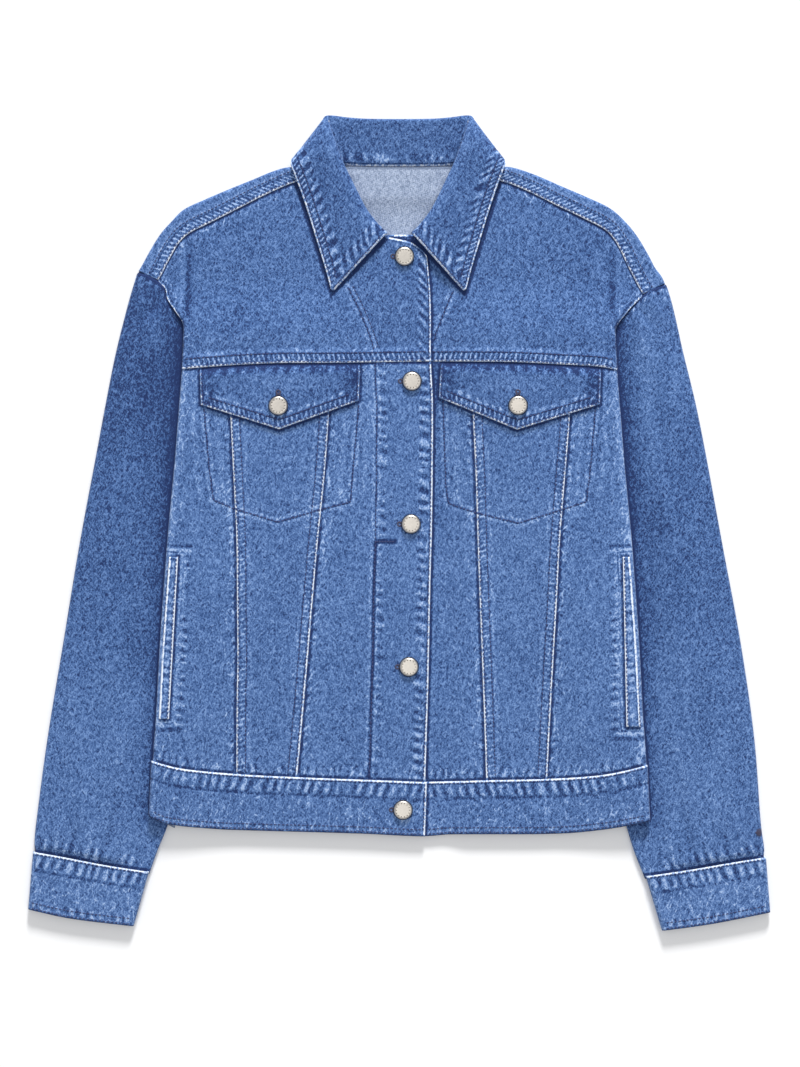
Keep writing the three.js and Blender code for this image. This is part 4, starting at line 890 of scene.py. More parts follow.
for key, side in SIDES.items():
    sign, outer_seam, inner_seam = side["sign"], side["outer_seam"], side["inner_seam"]
    top = front_top if sign < 0 else left_front_top
    lying_on = (flap_outline(key), welt_outline(key))

    # Side front, turned under at the side fold
    us = shares(56)
    fold_line = lambda y, sign=sign: sign * (side_half(y) - FOLD_INSET)
    flat = lower_panel(fold_line, outer_seam, 0.0, -sign * TUCK, us, LONG)
    x, y, edges = measured(flat)
    small = creases_at(CREASES, x, y)
    z = top(x, y) + small - tucked(edges, ["right", "top", "foot"]) - flap_dip(key, x, y)
    waist = pucker(edges["foot"] - TUCK, edges["left"], 0.2, 13, 8.0, 11)
    seam = pucker(edges["right"] - TUCK, edges["top"], 0.5, 7, 8.5, 12)
    z = z + 0.25 * waist + 0.2 * seam
    points = with_height(flat, z)
    radius = (z[:, 0] - back_lift(x[:, 0], y[:, 0])) / 2
    points = rolled(points, sign, radius, math.pi, SIDE_RETURN)
    extra = points.shape[1] - flat.shape[1]
    marks = fold_marks(edges, [], ["right", "top", "foot"])
    marks["under"] = np.minimum(marks["under"], bare_of(key, x, y, lying_on))
    marks["imprint"] = imprint_at(key, x, y)
    marks = {name: widened(np.broadcast_to(value, x.shape), extra) for name, value in marks.items()}
    by_welt = pucker(outside_of(welt_outline(key), x, y), y, 4.5, 14, 8.0, 15)
    marks["relief"] = widened(0.35 * small + 0.7 * waist + 0.6 * seam + 0.8 * by_welt, extra)
    marks["under"][:, :extra] = 99.0
    marks["fade"] = widened(0.16 * ease((4.5 - edges["left"]) / 3.5) + bag_fade(key, x, y), extra)
    crinkle = near_borders([edges["foot"] - TUCK, edges["right"] - TUCK, edges["left"]])
    marks["crinkle"] = widened(crinkle, extra)
    cloth("side_front_" + key, points, marks)

    # Middle front, lapped over both neighbours
    us = shares(80, 1, 1)
    flat = lower_panel(outer_seam, inner_seam, 0.0, 0.0, us, LONG)
    x, y, edges = measured(flat)
    beside = np.minimum(edges["left"], edges["right"])
    small = creases_at(CREASES, x, y)
    lap = LAP_RAISE * (1 - ease((beside - 6) / 5)) - turned_edge(beside, 0.9)
    ladder_rise = pucker(beside, edges["top"], 1.6, 8.6, 4.3, 21)
    waist = pucker(edges["foot"] - TUCK, edges["left"], 0.2, 13, 8.0, 23)
    z = top(x, y) + small + lap + 0.14 * ladder_rise + 0.25 * waist
    z = z - tucked(edges, ["top", "foot"]) - flap_dip(key, x, y)
    marks = fold_marks(edges, ["left", "right"], ["top", "foot"], 0.55)
    marks["under"] = np.minimum(marks["under"], bare_of(key, x, y, lying_on))
    marks["imprint"] = imprint_at(key, x, y)
    marks["relief"] = 0.35 * small + 0.7 * waist
    marks["fade"] = bag_fade(key, x, y)
    marks["crinkle"] = near_borders([edges["foot"] - TUCK, beside])
    cloth("middle_front_" + key, with_height(flat, z), marks)

    # Centre front: the right one carries the buttons' band, the left one runs on beneath it
    centre_line = front_edge if sign < 0 else (lambda y: front_edge(y) - HIDDEN_EDGE)
    us = shares(100, 0, sign < 0)
    flat = lower_panel(inner_seam, centre_line, sign * TUCK, 0.0, us, LONG)
    x, y, edges = measured(flat)
    small = creases_at(CREASES, x, y)
    z = top(x, y) + small - tucked(edges, ["left", "top", "foot"]) - flap_dip(key, x, y)
    seam = pucker(edges["left"] - TUCK, edges["top"], 0.5, 7, 8.5, 32)
    z = z + 0.2 * seam
    marks = fold_marks(edges, ["right"] if sign < 0 else [], ["left", "top", "foot"], 0.0)
    marks["under"] = np.minimum(marks["under"], bare_of(key, x, y, lying_on))
    marks["imprint"] = imprint_at(key, x, y)
    relief = 0.35 * small + 0.5 * seam
    if sign < 0:
        from_edge = edges["right"]
        band_line = front_edge(y) - x
        step = np.where(y > BAND_STEP_Y, BAND_WIDTH + 0.7, BAND_WIDTH - 0.8)
        z = z + 0.5 * ease((step - band_line) / 2.5) - turned_edge(from_edge, 1.0)
        edge_pucker = pucker(from_edge, edges["top"], 2.0, 14.5, 10.0, 33)
        inner_pucker = pucker(band_line, edges["top"], 40, 52, 9.5, 35)
        z = z + 0.45 * edge_pucker + 0.3 * inner_pucker
        relief = relief + 1.1 * edge_pucker + 0.7 * inner_pucker
        band_edge = np.abs(band_line - BAND_WIDTH) + np.where(y < BAND_STEP_Y, 0.5, 99)
        dash = np.hypot(np.maximum(np.abs(x + 13.1) - 8.7, 0), y - BAND_STEP_Y) - 0.1
        marks["under"] = np.minimum(marks["under"], np.minimum(band_edge, dash))
        pulls = np.exp(-((x + 32) / 9) ** 2) * ease((y - 100) / 30)
        marks["fade"] = 0.06 * pulls + bag_fade(key, x, y)
    else:
        # Painted shadow beside the right front's edge, over the upper part of the left front
        shade = ease((16 - (x - front_edge(y))) / 15) * ease((y + 60) / 90)
        marks["fade"] = bag_fade(key, x, y) - 0.12 * shade
    waist = pucker(edges["foot"] - TUCK, edges["left"], 0.2, 13, 8.0, 37)
    marks["crinkle"] = near_borders(
        [edges["foot"] - TUCK, edges["left"] - TUCK, edges["right"], edges["top"] - TUCK])
    marks["relief"] = relief + 0.7 * waist
    cloth("centre_front_" + key, with_height(flat, z + 0.25 * waist), marks)

    # Front yoke, from the shoulder and the neck to the yoke seam
    shoulder, neck, hole = SHOULDER[key], FRONT_NECK[key], ARMHOLE[key]
    seam_line = curve(shoulder["seamX"], shoulder["seamY"])
    seam_x = np.linspace(shoulder["seamX"][0], shoulder["seamX"][-1], 40)
    top_x = np.concatenate([seam_x, neck["x"][1:]])
    top_y = np.concatenate([seam_line(seam_x), neck["y"][1:]])
    top_read = straight(top_x, top_y)
    kept = (np.abs(hole["x"]) >= 199.9) & (np.abs(hole["x"]) < abs(top_x[0]) + 0.01)
    hole_x = np.concatenate([hole["x"][kept], [sign * side_half(172), sign * side_half(150)]])
    hole_y = np.concatenate([hole["y"][kept], [172, 150]])
    arm_read = curve(hole_y, hole_x)
    arm_curve = lambda y, read=arm_read, top=hole_y[0]: read(np.minimum(y, top))
    arm_angle = lambda y: blend(math.pi / 10, math.pi / 2, ease((205 - y) / 25))
    arm_radius = 2.4
    arm_line = lambda y: arm_curve(y) - sign * (0.3 + arm_radius * np.sin(arm_angle(y)))
    foot_y = float(yoke_seam(sign * 198))
    foot_ends = (float(arm_line(foot_y)), float(centre_line(yoke_seam(28))))
    start_x = float(arm_line(hole_y[0]))
    wide = abs(top_x[-1] - start_x)
    us = shares(wide, 0, sign < 0)
    spread = blend(start_x, top_x[-1], us)
    more = TUCK * 1.1 * ease((np.abs(spread) - 90) / 5)
    first_y = float(top_read(start_x))
    shoulder_top = lambda t: (spread, top_read(spread) + more)
    down_v = shares(150, 0, 1)
    flat = patch(
        us, down_v, shoulder_top, across(yoke_seam, foot_ends[0], foot_ends[1]),
        down(arm_line, first_y + more[0], foot_y), down(centre_line, top_y[-1], float(yoke_seam(28))))
    x, y, edges = measured(flat)
    small = creases_at(CREASES, x, y)
    past = edges["top"] - more[None, :]
    lower = TUCK_DROP * ease((2.2 - past) / 2.4) * (more[None, :] > 1)
    overlap = LAP_RAISE * (1 - ease((edges["foot"] - 9) / 5)) * (1 if sign < 0 else ease((x - 33) / 12))
    seam = pucker(edges["foot"], edges["left"], 9.5, 16, 9.0, 41)
    shoulder_pucker = pucker(past, edges["left"], 0.5, 7, 8.5, 43) * (more[None, :] > 1)
    z = top(x, y) + small - lower + overlap - turned_edge(edges["foot"], 0.9)
    z = z + 0.2 * seam + 0.25 * shoulder_pucker
    relief = 0.35 * small + 0.4 * seam + 0.5 * shoulder_pucker
    marks = fold_marks(edges, ["foot", "right"] if sign < 0 else ["foot"])
    from_shoulder = np.where(more[None, :] > 1, past, 99.0)
    marks["under"] = np.minimum(from_shoulder, bare_of(key, x, y, COLLAR_LEAVES.values()))
    marks["imprint"] = imprint_at(key, x, y)
    # Painted shade: the whole yoke a little darker, a dark line down the crease beside the armhole, and
    # painted light on a strip past it
    beside_arm = np.abs(x) - (194.6 if sign < 0 else 196.0)
    tall = ease((y - 178) / 25) * ease((262 - y) / 25)
    crease = np.exp(-(beside_arm / 2.6) ** 2) - 0.4 * np.exp(-((beside_arm - 5.5) / 3.5) ** 2)
    marks["fade"] = -0.075 - (0.34 if sign < 0 else 0.20) * tall * crease
    from_neck = np.where(more[None, :] < 1, edges["top"], 99)
    marks["crinkle"] = near_borders([edges["foot"], past, edges["left"], from_neck])
    neck_inset = np.where(more[None, :] < 1, edges["top"] + 0.2, 99.0)
    plain_inset = np.minimum(edges["right"] if sign < 0 else 99.0, neck_inset)
    marks["ladder"] = np.where(plain_inset < edges["foot"], 0.0, 1.0)
    marks["inset"] = np.minimum(marks["inset"], neck_inset)
    if sign < 0:
        edge_pucker = pucker(edges["right"], edges["top"], 2.0, 14.5, 10.0, 45)
        z = z + 0.4 * edge_pucker - turned_edge(edges["right"], 1.0)
        relief = relief + 1.2 * edge_pucker
    points = rolled(with_height(flat, z), sign, arm_radius, arm_angle(y[:, 0]))
    extra = points.shape[1] - flat.shape[1]
    marks["relief"] = relief
    marks = {name: widened(np.broadcast_to(value, x.shape), extra) for name, value in marks.items()}
    from_hole = np.hypot(points[..., 0] - points[:, :1, 0], points[..., 2] - points[:, :1, 2])
    marks["ladder"] = np.where(from_hole + 1.0 < marks["inset"], 0.0, marks["ladder"])
    marks["inset"] = np.minimum(marks["inset"], from_hole + 1.0)
    cloth("front_yoke_" + key, points, marks)


# Sleeves: the upper piece turns round both folds and returns beneath
for key, side in SIDES.items():
    sign, hole = side["sign"], ARMHOLE[key]
    outer_radius, inner_radius = SLEEVE_EDGE / 2, SLEEVE_PRESSED / 2
    places = hole["x"].copy()
    places[0] -= sign * outer_radius
    places[-1] += sign * inner_radius
    feet = (side["outer"](-305) - sign * outer_radius, side["inner"](-321) + sign * inner_radius)
    count = len(places) - 1
    share = (places - places[0]) / (places[-1] - places[0])
    foot_places = blend(feet[0], feet[1], blend(share, np.arange(count + 1) / count, 0.7))
    us, vs = shares(190), shares(545, 1, 0)
    flat = patch(
        us, vs, through(side["armhole"], places, SLEEVE_TUCK),
        through(side["cuff_seam"], foot_places, -TUCK + 2),
        down(side["outer"], hole["y"][0] + SLEEVE_TUCK, side["cuff_seam"](feet[0]), -sign * outer_radius),
        down(side["inner"], hole["y"][-1] + SLEEVE_TUCK, side["cuff_seam"](feet[1]), sign * inner_radius))
    x, y, edges = measured(flat)
    free = ease((np.abs(x) - side_half(y) - 3) / 12)
    small = creases_at(SLEEVE_CREASES, x, y) * free
    past = edges["top"] - SLEEVE_TUCK - 0.3
    cap = pucker(past, edges["left"], 0.3, 7, 9.0, 51) * free
    gathers = pucker(edges["foot"] - TUCK + 2, edges["left"] - 0.5 * edges["foot"], 0.2, 16, 9.5, 53) * free
    z = sleeve_top(side, x, y) + small + 0.3 * cap + 0.4 * gathers - SLEEVE_DROP * ease((0.6 - past) / 2.2)
    z = blend(z, np.minimum(z, 5.4), ease((10 - edges["foot"]) / 7))
    points = with_height(flat, z)
    run = blend(2, SLEEVE_RETURN, ease((222 - y[:, 0]) / 30))
    points = rolled(points, sign, z[:, 0] / 2, math.pi, run)
    before = points.shape[1] - flat.shape[1]
    points = rolled(points, -sign, z[:, -1] / 2, math.pi, SLEEVE_RETURN, first=False)
    after = points.shape[1] - flat.shape[1] - before
    out = np.abs(x) - side_half(y)
    # Painted shade on the sleeve: darker towards the top and most on the wearer's right sleeve, soft bands of
    # painted light and shade along it, and a painted shadow beside the body's side edge, as a wide band and a
    # dark line
    upper, middle = (-0.25, -0.14) if sign < 0 else (-0.06, -0.12)
    tone = blend(blend(0.01, middle, ease((y + 230) / 200)), upper, ease((y - 30) / 120))
    band = 0.10 * wobble(55 + sign, 60)(y) * np.exp(-((out - 26) / 9) ** 2) * ease((y + 200) / 120)
    body_shadow_span = ease((y - hem(np.clip(x, -230, 230)) + 12) / 14)
    shadow_depth = 1 + 0.7 * ease((y + 60) / 120)
    tone = tone + band - body_shadow_span * shadow_depth * (0.11 * ease((26 - out) / 26) + 0.14 * ease((9 - out) / 7))
    shadow_line_by_body = np.where(body_shadow_span > 0.95, np.maximum(out, 0) + 0.9, 99.0)
    crinkle = near_borders([past, edges["foot"] - TUCK + 2])
    marks = {
        "under": np.minimum(np.minimum(past + 0.3, edges["foot"] - TUCK + 2), shadow_line_by_body),
        "crinkle": crinkle,
        "relief": 0.28 * small + 0.6 * cap + 0.8 * gathers,
        "fade": tone}
    marks = {name: widened(value, before, after) for name, value in marks.items()}
    cloth("sleeve_upper_" + key, points, marks)

    # Under piece, flat between the two returns
    first = straight(points[:, 0, 1], points[:, 0, 0] - sign * 0.3)
    last = straight(points[:, -1, 1], points[:, -1, 0] + sign * 0.3)
    tops = [float(side["armhole"](end[0, 0])) - 0.3 for end in (points[:, 0], points[:, -1])]
    feet = [float(side["cuff_seam"](end[-1, 0])) + 0.3 for end in (points[:, 0], points[:, -1])]
    under = patch(
        np.linspace(0, 1, 40), np.linspace(0, 1, 90),
        across(side["armhole"], float(first(tops[0])), float(last(tops[1])), -0.3),
        across(side["cuff_seam"], float(first(feet[0])), float(last(feet[1])), 0.3),
        down(first, tops[0], feet[0]), down(last, tops[1], feet[1]))
    x, y, edges = measured(under)
    sides = np.minimum(edges["left"], edges["right"])
    pressed = creases_at(SLEEVE_CREASES, x + sign * 6, y - 14)
    rise = 0.5 * np.maximum(pressed, 0) * ease(np.minimum(sides, edges["foot"]) / 14)
    crinkle = near_borders([sides, edges["foot"], edges["top"]])
    marks = {"relief": 0.3 * pressed, "under": sides + 0.8, "crinkle": crinkle}
    cloth("sleeve_under_" + key, with_height(under, rise), marks, up=False)


# Cuffs: flattened bands, open at both ends
for key, side in SIDES.items():
    sign, seam, foot = side["sign"], CUFF_SEAM[key], CUFF_HEM[key]
    radius = CUFF_HEIGHT / 2
    flat_count, arc_count = int(100 / STEP), 10
    across_t = np.concatenate([
        np.linspace(0, 1, flat_count, endpoint=False), np.full(arc_count, 1.0),
        np.linspace(1, 0, flat_count, endpoint=False), np.zeros(arc_count + 1)])
    turn = np.concatenate([
        np.zeros(flat_count), np.linspace(0, math.pi, arc_count, endpoint=False),
        np.full(flat_count, math.pi), np.linspace(math.pi, 2 * math.pi, arc_count + 1)])
    vs = shares(52, 1, 1)[:, None]
    outer_x = blend(seam["x"][0], foot["x"][0], vs) - sign * radius
    inner_x = blend(seam["x"][-1], foot["x"][-1], vs) + sign * radius
    x = blend(outer_x, inner_x, across_t) - sign * radius * np.sin(turn)
    y = blend(side["cuff_seam"](x) - 0.3, side["cuff_hem"](x), vs)
    z = radius + radius * np.cos(turn) + 0 * x
    on_top = (turn < 0.2) | (turn > 2 * math.pi - 0.2)
    edges = reach(np.stack([x, y, z], -1))
    band = pucker(edges["top"], edges["left"], 1.0, 16.5, 9.5, 61) * on_top
    lower = pucker(edges["foot"], edges["left"], 1.5, 11, 8.5, 63) * on_top
    z = z + 0.4 * band + 0.3 * lower
    border = np.minimum(edges["top"], edges["foot"])
    z = radius + (z - radius) * (1 - turned_edge(border, 1.0) / radius)
    marks = fold_marks(edges, ["top"], (), 0.0)
    marks["under"] = edges["foot"] + 1.2
    marks["crinkle"] = 0.7
    line = np.abs(edges["top"] - 16.5)
    marks["relief"] = 1.1 * band + 0.7 * lower - 0.6 * ease(1 - line / 2.2) * on_top
    marks["fade"] = 0.05
    cloth("cuff_" + key, np.stack([x, y, z], -1), marks, BAND_CLOTH, ring=True)


# Waistband fronts, turned under at the side folds
BAND_RAISE = {"r": 1.4, "l": 1.0}
BAND_SIDE = (228.5, 231.0)  # half the waistband's width at its seam and at the hem
BAND_END = (25.4, 23.5)  # x of the buttoned end, at the seam and at the hem
for key, side in SIDES.items():
    sign = side["sign"]
    top = front_top if sign < 0 else left_front_top
    seam_ends = (sign * (BAND_SIDE[0] - FOLD_INSET), BAND_END[0] if sign < 0 else -24.0)
    hem_ends = (sign * (BAND_SIDE[1] - FOLD_INSET), BAND_END[1] if sign < 0 else -25.0)
    us, vs = shares(250, 0, sign < 0), shares(50, 1, 1)
    flat = patch(
        us, vs, across(waist_seam, *seam_ends, -0.1), across(hem, *hem_ends),
        lambda t: (blend(seam_ends[0], hem_ends[0], t), blend(waist_seam(seam_ends[0]), hem(hem_ends[0]), t)),
        lambda t: (blend(seam_ends[1], hem_ends[1], t), blend(waist_seam(seam_ends[1]), hem(hem_ends[1]), t)))
    x, y, edges = measured(flat)
    band = pucker(edges["top"], edges["left"], 1.2, 16.5, 9.5, 71)
    lower = pucker(edges["foot"], edges["left"], 1.5, 9, 8.5, 73)
    line = np.abs(edges["top"] - 16.5 - 0.8 * wobble(75, 6)(edges["left"]))
    border = np.minimum(edges["top"], edges["foot"])
    if sign < 0:
        border = np.minimum(border, edges["right"])
    z = top(x, y) + BAND_RAISE[key] + 0.4 * band + 0.2 * lower - turned_edge(border, 1.1)
    z = z - 0.3 * ease(1 - line / 2.5)
    points = with_height(flat, z)
    radius = (z[:, 0] - back_lift(x[:, 0], y[:, 0])) / 2
    points = rolled(points, sign, radius, math.pi, SIDE_RETURN)
    extra = points.shape[1] - flat.shape[1]
    marks = fold_marks(edges, ["top"] + (["right"] if sign < 0 else []), (), 0.0)
    marks["under"] = edges["foot"] + 1.2
    marks["crinkle"] = 0.7
    marks["relief"] = 1.0 * band + 0.5 * lower - 0.6 * ease(1 - line / 2.2)
    if sign > 0:
        marks["under"] = np.minimum(marks["under"], x - blend(*BAND_END, edges["top"] / 48))
    marks = {name: widened(np.broadcast_to(value, x.shape), extra) for name, value in marks.items()}
    cloth("waistband_" + key, points, marks, BAND_CLOTH)


# Back panel and back waistband, under the front and over the sleeves
BACK_SEAM_Y = 154.0
NECK_HALF = 76
COLLAR_SEAM_Y = 328.2


def back_seam(x):
    x = np.asarray(x, float)
    sides = np.where(x < 0, SIDES["r"]["armhole"](x), SIDES["l"]["armhole"](x))
    return np.where(np.abs(x) < NECK_HALF, BACK_SEAM_Y, sides)


def return_end(y):
    return side_half(y) - FOLD_INSET - SIDE_RETURN - 0.5


BACK_CREASES = table("x y length width rise angle", [
    (-120, 60, 70, 9.0, 0.6, 80), (-60, -60, 90, 11.0, 0.5, 96), (10, 40, 80, 9.0, 0.6, 88),
    (75, -20, 90, 10.0, 0.5, 84), (130, 70, 60, 8.0, 0.6, 101), (-150, -130, 60, 8.0, 0.6, 92),
    (-20, -170, 50, 7.0, 0.5, 82), (95, -150, 60, 8.0, 0.6, 97), (150, -90, 50, 7.0, 0.5, 90),
    (-90, 130, 30, 6.0, 0.5, 65), (60, 128, 30, 6.0, 0.5, 112), (-175, 0, 50, 7.0, 0.5, 86)])
top_half, foot_half = float(return_end(176)), float(return_end(-225))
flat = patch(
    np.linspace(0, 1, 70), np.linspace(0, 1, 70), across(back_seam, -top_half, top_half, -0.3),
    across(waist_seam, -foot_half, foot_half, 0.3),
    down(lambda y: -return_end(y), back_seam(-top_half), waist_seam(-foot_half)),
    down(return_end, back_seam(top_half), waist_seam(foot_half)))
back_rise = back_lift(flat[..., 0], flat[..., 1])
back_crease = creases_at(BACK_CREASES, flat[..., 0], flat[..., 1])
back_edges = reach(with_height(flat, back_rise))
beside = np.minimum.reduce([back_edges[border] for border in ("left", "right", "top", "foot")])
marks = {"relief": 0.5 * back_crease, "crinkle": near_borders([beside]), "under": beside + 0.8}
cloth("back_panel", with_height(flat, back_rise + back_crease * ease(beside / 20)), marks, up=False)
v = np.linspace(0, 1, 16)[:, None]
half = blend(BAND_SIDE[0], BAND_SIDE[1], v) - FOLD_INSET - SIDE_RETURN - 0.3
x = blend(-half, half, np.linspace(0, 1, 90)[None, :])
y = blend(waist_seam(x) - 0.3, hem(x), v)
edges = reach(np.stack([x, y, 0 * x], -1))
band = pucker(edges["top"], edges["left"], 1.2, 16.5, 9.5, 77)
marks = {"inset": edges["top"], "relief": 1.0 * band, "under": edges["foot"] + 1.2, "crinkle": 0.7}
cloth("back_waistband", np.stack([x, y, back_lift(x, y)], -1), marks, BAND_CLOTH, up=False)


# Back yoke, its wrong side seen in the neck, turned over the shoulders to the front shoulder seams
def collar_rise(x, y):
    return 2.2 * ease((y - 285) / 18) * ease((118 - np.abs(x)) / 14)


def yoke_section(start, fold, seam, vs):
    """Points along one line of the back yoke: up the back to 1, round the turn to 2, down the front to 3."""
    base = float(collar_rise(fold[0], fold[1]))
    top_z = max(SLEEVE_EDGE, base + 6.2)
    radius = (top_z - base) / 2
    out = (fold - seam) / np.linalg.norm(fold - seam)
    turn_at = fold - out * radius
    points = []
    for share in vs:
        if share < 1:
            x, y = blend(start, turn_at, share)
            points.append((x, y, float(collar_rise(x, y))))
        elif share < 2:
            a = (share - 1) * math.pi
            x, y = turn_at + out * radius * math.sin(a)
            points.append((x, y, base + radius * (1 - math.cos(a))))
        else:
            x, y = blend(turn_at, seam, share - 2)
            z = blend(top_z, float(front_top(x, y)) + LAP_RAISE, float(ease(share - 2)))
            points.append((x, y, z))
    return points


YOKE_V = np.concatenate([np.linspace(0, 1, 22, endpoint=False), np.linspace(1, 2, 10, endpoint=False),
                         2 + shares(24, 0, 1, 1.6)])


def shoulder_stations(key, order):
    rows, read = SHOULDER[key], SIDES[key]["armhole"]
    for i in order:
        start = np.array([rows["startX"][i], float(read(rows["startX"][i])) + 0.25])
        fold = np.array([rows["foldX"][i], rows["foldY"][i]])
        seam = np.array([rows["seamX"][i], rows["seamY"][i]])
        yield yoke_section(start, fold, seam, YOKE_V)


def neck_stations(sign, order):
    for i in order:
        start = np.array([sign * BACK_NECK["startX"][i], BACK_SEAM_Y + 0.15])
        end = np.array([sign * BACK_NECK["neckX"][i], BACK_NECK["neckY"][i]])
        places = [blend(start, end, share) for share in np.interp(YOKE_V, [0, 1, 2, 3], [0, 0.8, 0.9, 1])]
        yield [(x, y, float(collar_rise(x, y))) for x, y in places]


for key, side in SIDES.items():
    sign = side["sign"]
    order = range(len(SHOULDER[key]["foldX"]))
    sections = np.array(list(shoulder_stations(key, order)))
    points = smooth_rows(sections, [9] * (len(sections) - 1))
    points = np.swapaxes(points, 0, 1)
    edges = reach(points)
    seam = pucker(edges["foot"], edges["left"], 1.6, 12, 4.4, 81)
    points[..., 2] += np.where(edges["foot"] < 20, 0.14 * seam - turned_edge(edges["foot"], 0.9), 0)
    marks = fold_marks(edges, ["foot"])
    marks["crinkle"] = near_borders([edges["foot"]])
    SIDES[key]["shoulder_points"] = points
    SIDES[key]["shoulder_marks"] = marks
necks = [np.array(list(neck_stations(s, range(5)))) for s in (-1, 1)]
right, left = SIDES["r"]["shoulder_points"], SIDES["l"]["shoulder_points"]
middle = np.concatenate([necks[0], necks[1][::-1]])
middle = np.swapaxes(smooth_rows(middle, [4] * (len(middle) - 1)), 0, 1)
points = np.concatenate([right, middle, left[:, ::-1]], 1)
marks = {}
for name in MARKS:
    blank = np.full(middle.shape[:2], MARKS[name])
    first = np.broadcast_to(SIDES["r"]["shoulder_marks"].get(name, MARKS[name]), right.shape[:2])
    second = np.broadcast_to(SIDES["l"]["shoulder_marks"].get(name, MARKS[name]), left.shape[:2])
    marks[name] = np.concatenate([first, blank, second[:, ::-1]], 1)
in_neck = (np.abs(points[..., 0]) < NECK_HALF) & (points[..., 2] < 4)
marks["under"] = np.where(in_neck, COLLAR_SEAM_Y - points[..., 1], marks["under"])
cloth("back_yoke", points, marks, up=True, seen=(0.99, 0.15))


# Collar: stand and fall in one folded piece, from point to point round the neck
COLLAR_HALF = table("neckX neckY neckZ rollX rollY rollZ edgeX edgeY edgeZ lean", [
    (14, 264, 5.2, 10.5, 266.5, 8.4, 62.5, 211.1, 9.4, 90),
    (22.5, 267.8, 5.2, 19.5, 275, 8.6, 68, 232, 9.6, 90),
    (43, 273.4, 5.2, 31, 290.3, 8.8, 76, 258, 9.9, 90),
    (64, 286.5, 5.2, 43.5, 315, 9, 85, 287, 10.4, 90),
    (78, 303, 5.6, 52, 332.6, 9.2, 93, 310, 11.2, 90),
    (84, 316, 6.4, 58.5, 350, 9.6, 98, 323, 12.6, 88),
    (82, 328, 7.4, 64, 366, 8.6, 100.5, 330, 11, 55),
    (75, 333, 6.6, 67.3, 374, 6.6, 99.8, 333.5, 6, 0),
    (68, 332, 4.8, 62, 375.3, 5.2, 94, 325, 0.1, -60),
    (55, 330.2, 4.2, 47, 373.6, 4.6, 56, 311, 0, -90),
    (27, 328.8, 4.2, 25, 372.3, 4.6, 27, 308, 0, -90)])
COLLAR_LEFT_SHARE = 0.972  # the left side of the collar reaches a little less far out
ROLL_RADIUS = 2.6
COLLAR_PUFF = 1.6
COLLAR_ROWS = (2.6, 8.8)  # the stitch rows' lengths from the collar's edge


def collar_section(i, sign, s):
    """Points of the collar across one station: stand for s up to 1, roll up to 2, fall up to 3."""
    row = {name: values[i] for name, values in COLLAR_HALF.items()}
    wide = COLLAR_LEFT_SHARE if sign > 0 else -1
    neck = np.array([wide * row["neckX"], row["neckY"], row["neckZ"]])
    roll = np.array([wide * row["rollX"], row["rollY"], row["rollZ"]])
    edge = np.array([wide * row["edgeX"], row["edgeY"], row["edgeZ"]])
    lean = math.radians(row["lean"])
    out = (roll - neck) * (1, 1, 0)
    out /= np.linalg.norm(out)
    toward_fall = np.array([out[1] * sign * math.cos(lean), -out[0] * sign * math.cos(lean), math.sin(lean)])
    centre = roll - out * ROLL_RADIUS
    fall_start = centre + toward_fall * ROLL_RADIUS
    upward = max(math.sin(lean), 0)
    points = []
    for at in s:
        if at <= 1:
            points.append(blend(neck, centre - toward_fall * ROLL_RADIUS, at))
        elif at <= 2:
            a = (at - 1) * math.pi
            points.append(centre - toward_fall * ROLL_RADIUS * math.cos(a) + out * ROLL_RADIUS * math.sin(a))
        else:
            t = at - 2
            settle = blend((1 - t) ** 3, 1 - t, upward)
            point = blend(fall_start, edge, t)
            puff = upward * COLLAR_PUFF * math.sin(math.pi * math.sqrt(t))
            point[2] = blend(edge[2], fall_start[2], settle) + puff
            points.append(point)
    return points


fall_steps = shares(70, 0, 1)
COLLAR_S = np.concatenate([np.linspace(0, 1, 12, endpoint=False), np.linspace(1, 2, 10, endpoint=False),
                           2 + fall_steps])
count = len(COLLAR_HALF["neckX"])
stations = [collar_section(i, -1, COLLAR_S) for i in range(count)]
stations += [collar_section(i, 1, COLLAR_S) for i in reversed(range(count))]
per = 8
points = smooth_rows(np.array(stations), [per + 3] + [per] * (len(stations) - 3) + [per + 3])
TIP_RADIUS = 2.4
tips = (
    (points[0, -1], points[0, -8], points[8, -1]),
    (points[-1, -1], points[-1, -8], points[-9, -1]))
for tip, near, beside in tips:
    a, b = [(p - tip)[:2] / np.linalg.norm((p - tip)[:2]) for p in (near, beside)]
    inward = (a + b) / np.linalg.norm(a + b)
    half_sine = math.sqrt((1 - float(a @ b)) / 2)
    centre = tip[:2] + inward * TIP_RADIUS / half_sine
    from_centre = points[..., :2] - centre
    far = np.linalg.norm(from_centre, axis=2)
    beyond = (from_centre @ -inward > half_sine * far) & (far > TIP_RADIUS) & (far < 12)
    scale = np.where(beyond, TIP_RADIUS / np.maximum(far, 1e-6), 1.0)
    points[..., :2] = centre + from_centre * scale[..., None]
collar_points, collar_edges = points, reach(points)
edges = collar_edges
on_fall = (COLLAR_S >= 2)[None, :] * np.ones(points.shape[:2])
front = np.minimum(edges["top"], edges["foot"])
outer = pucker(edges["right"], edges["top"], 8.0, 20, 9.5, 91) * on_fall * ease((front - 4) / 8)
leaf = pucker(front, edges["left"], 3.0, 19, 9.5, 93) * on_fall * ease((edges["right"] - 4) / 8)
stand = pucker(edges["left"], edges["top"], 2.6, 12, 9.0, 95) * (1 - on_fall)
border = np.where(on_fall > 0, np.minimum(edges["right"], front), np.minimum(edges["left"], front))
normals = outward_normals(points)
if normals[len(points) // 4, -3, 2] < 0:
    normals = -normals
points = points + normals * (0.45 * outer + 0.45 * leaf + 0.3 * stand - turned_edge(border, 1.1))[..., None]
marks = fold_marks(edges, ["right", "top", "foot"])
marks["ladder"] = np.where(edges["right"] < front, on_fall, 0.0)
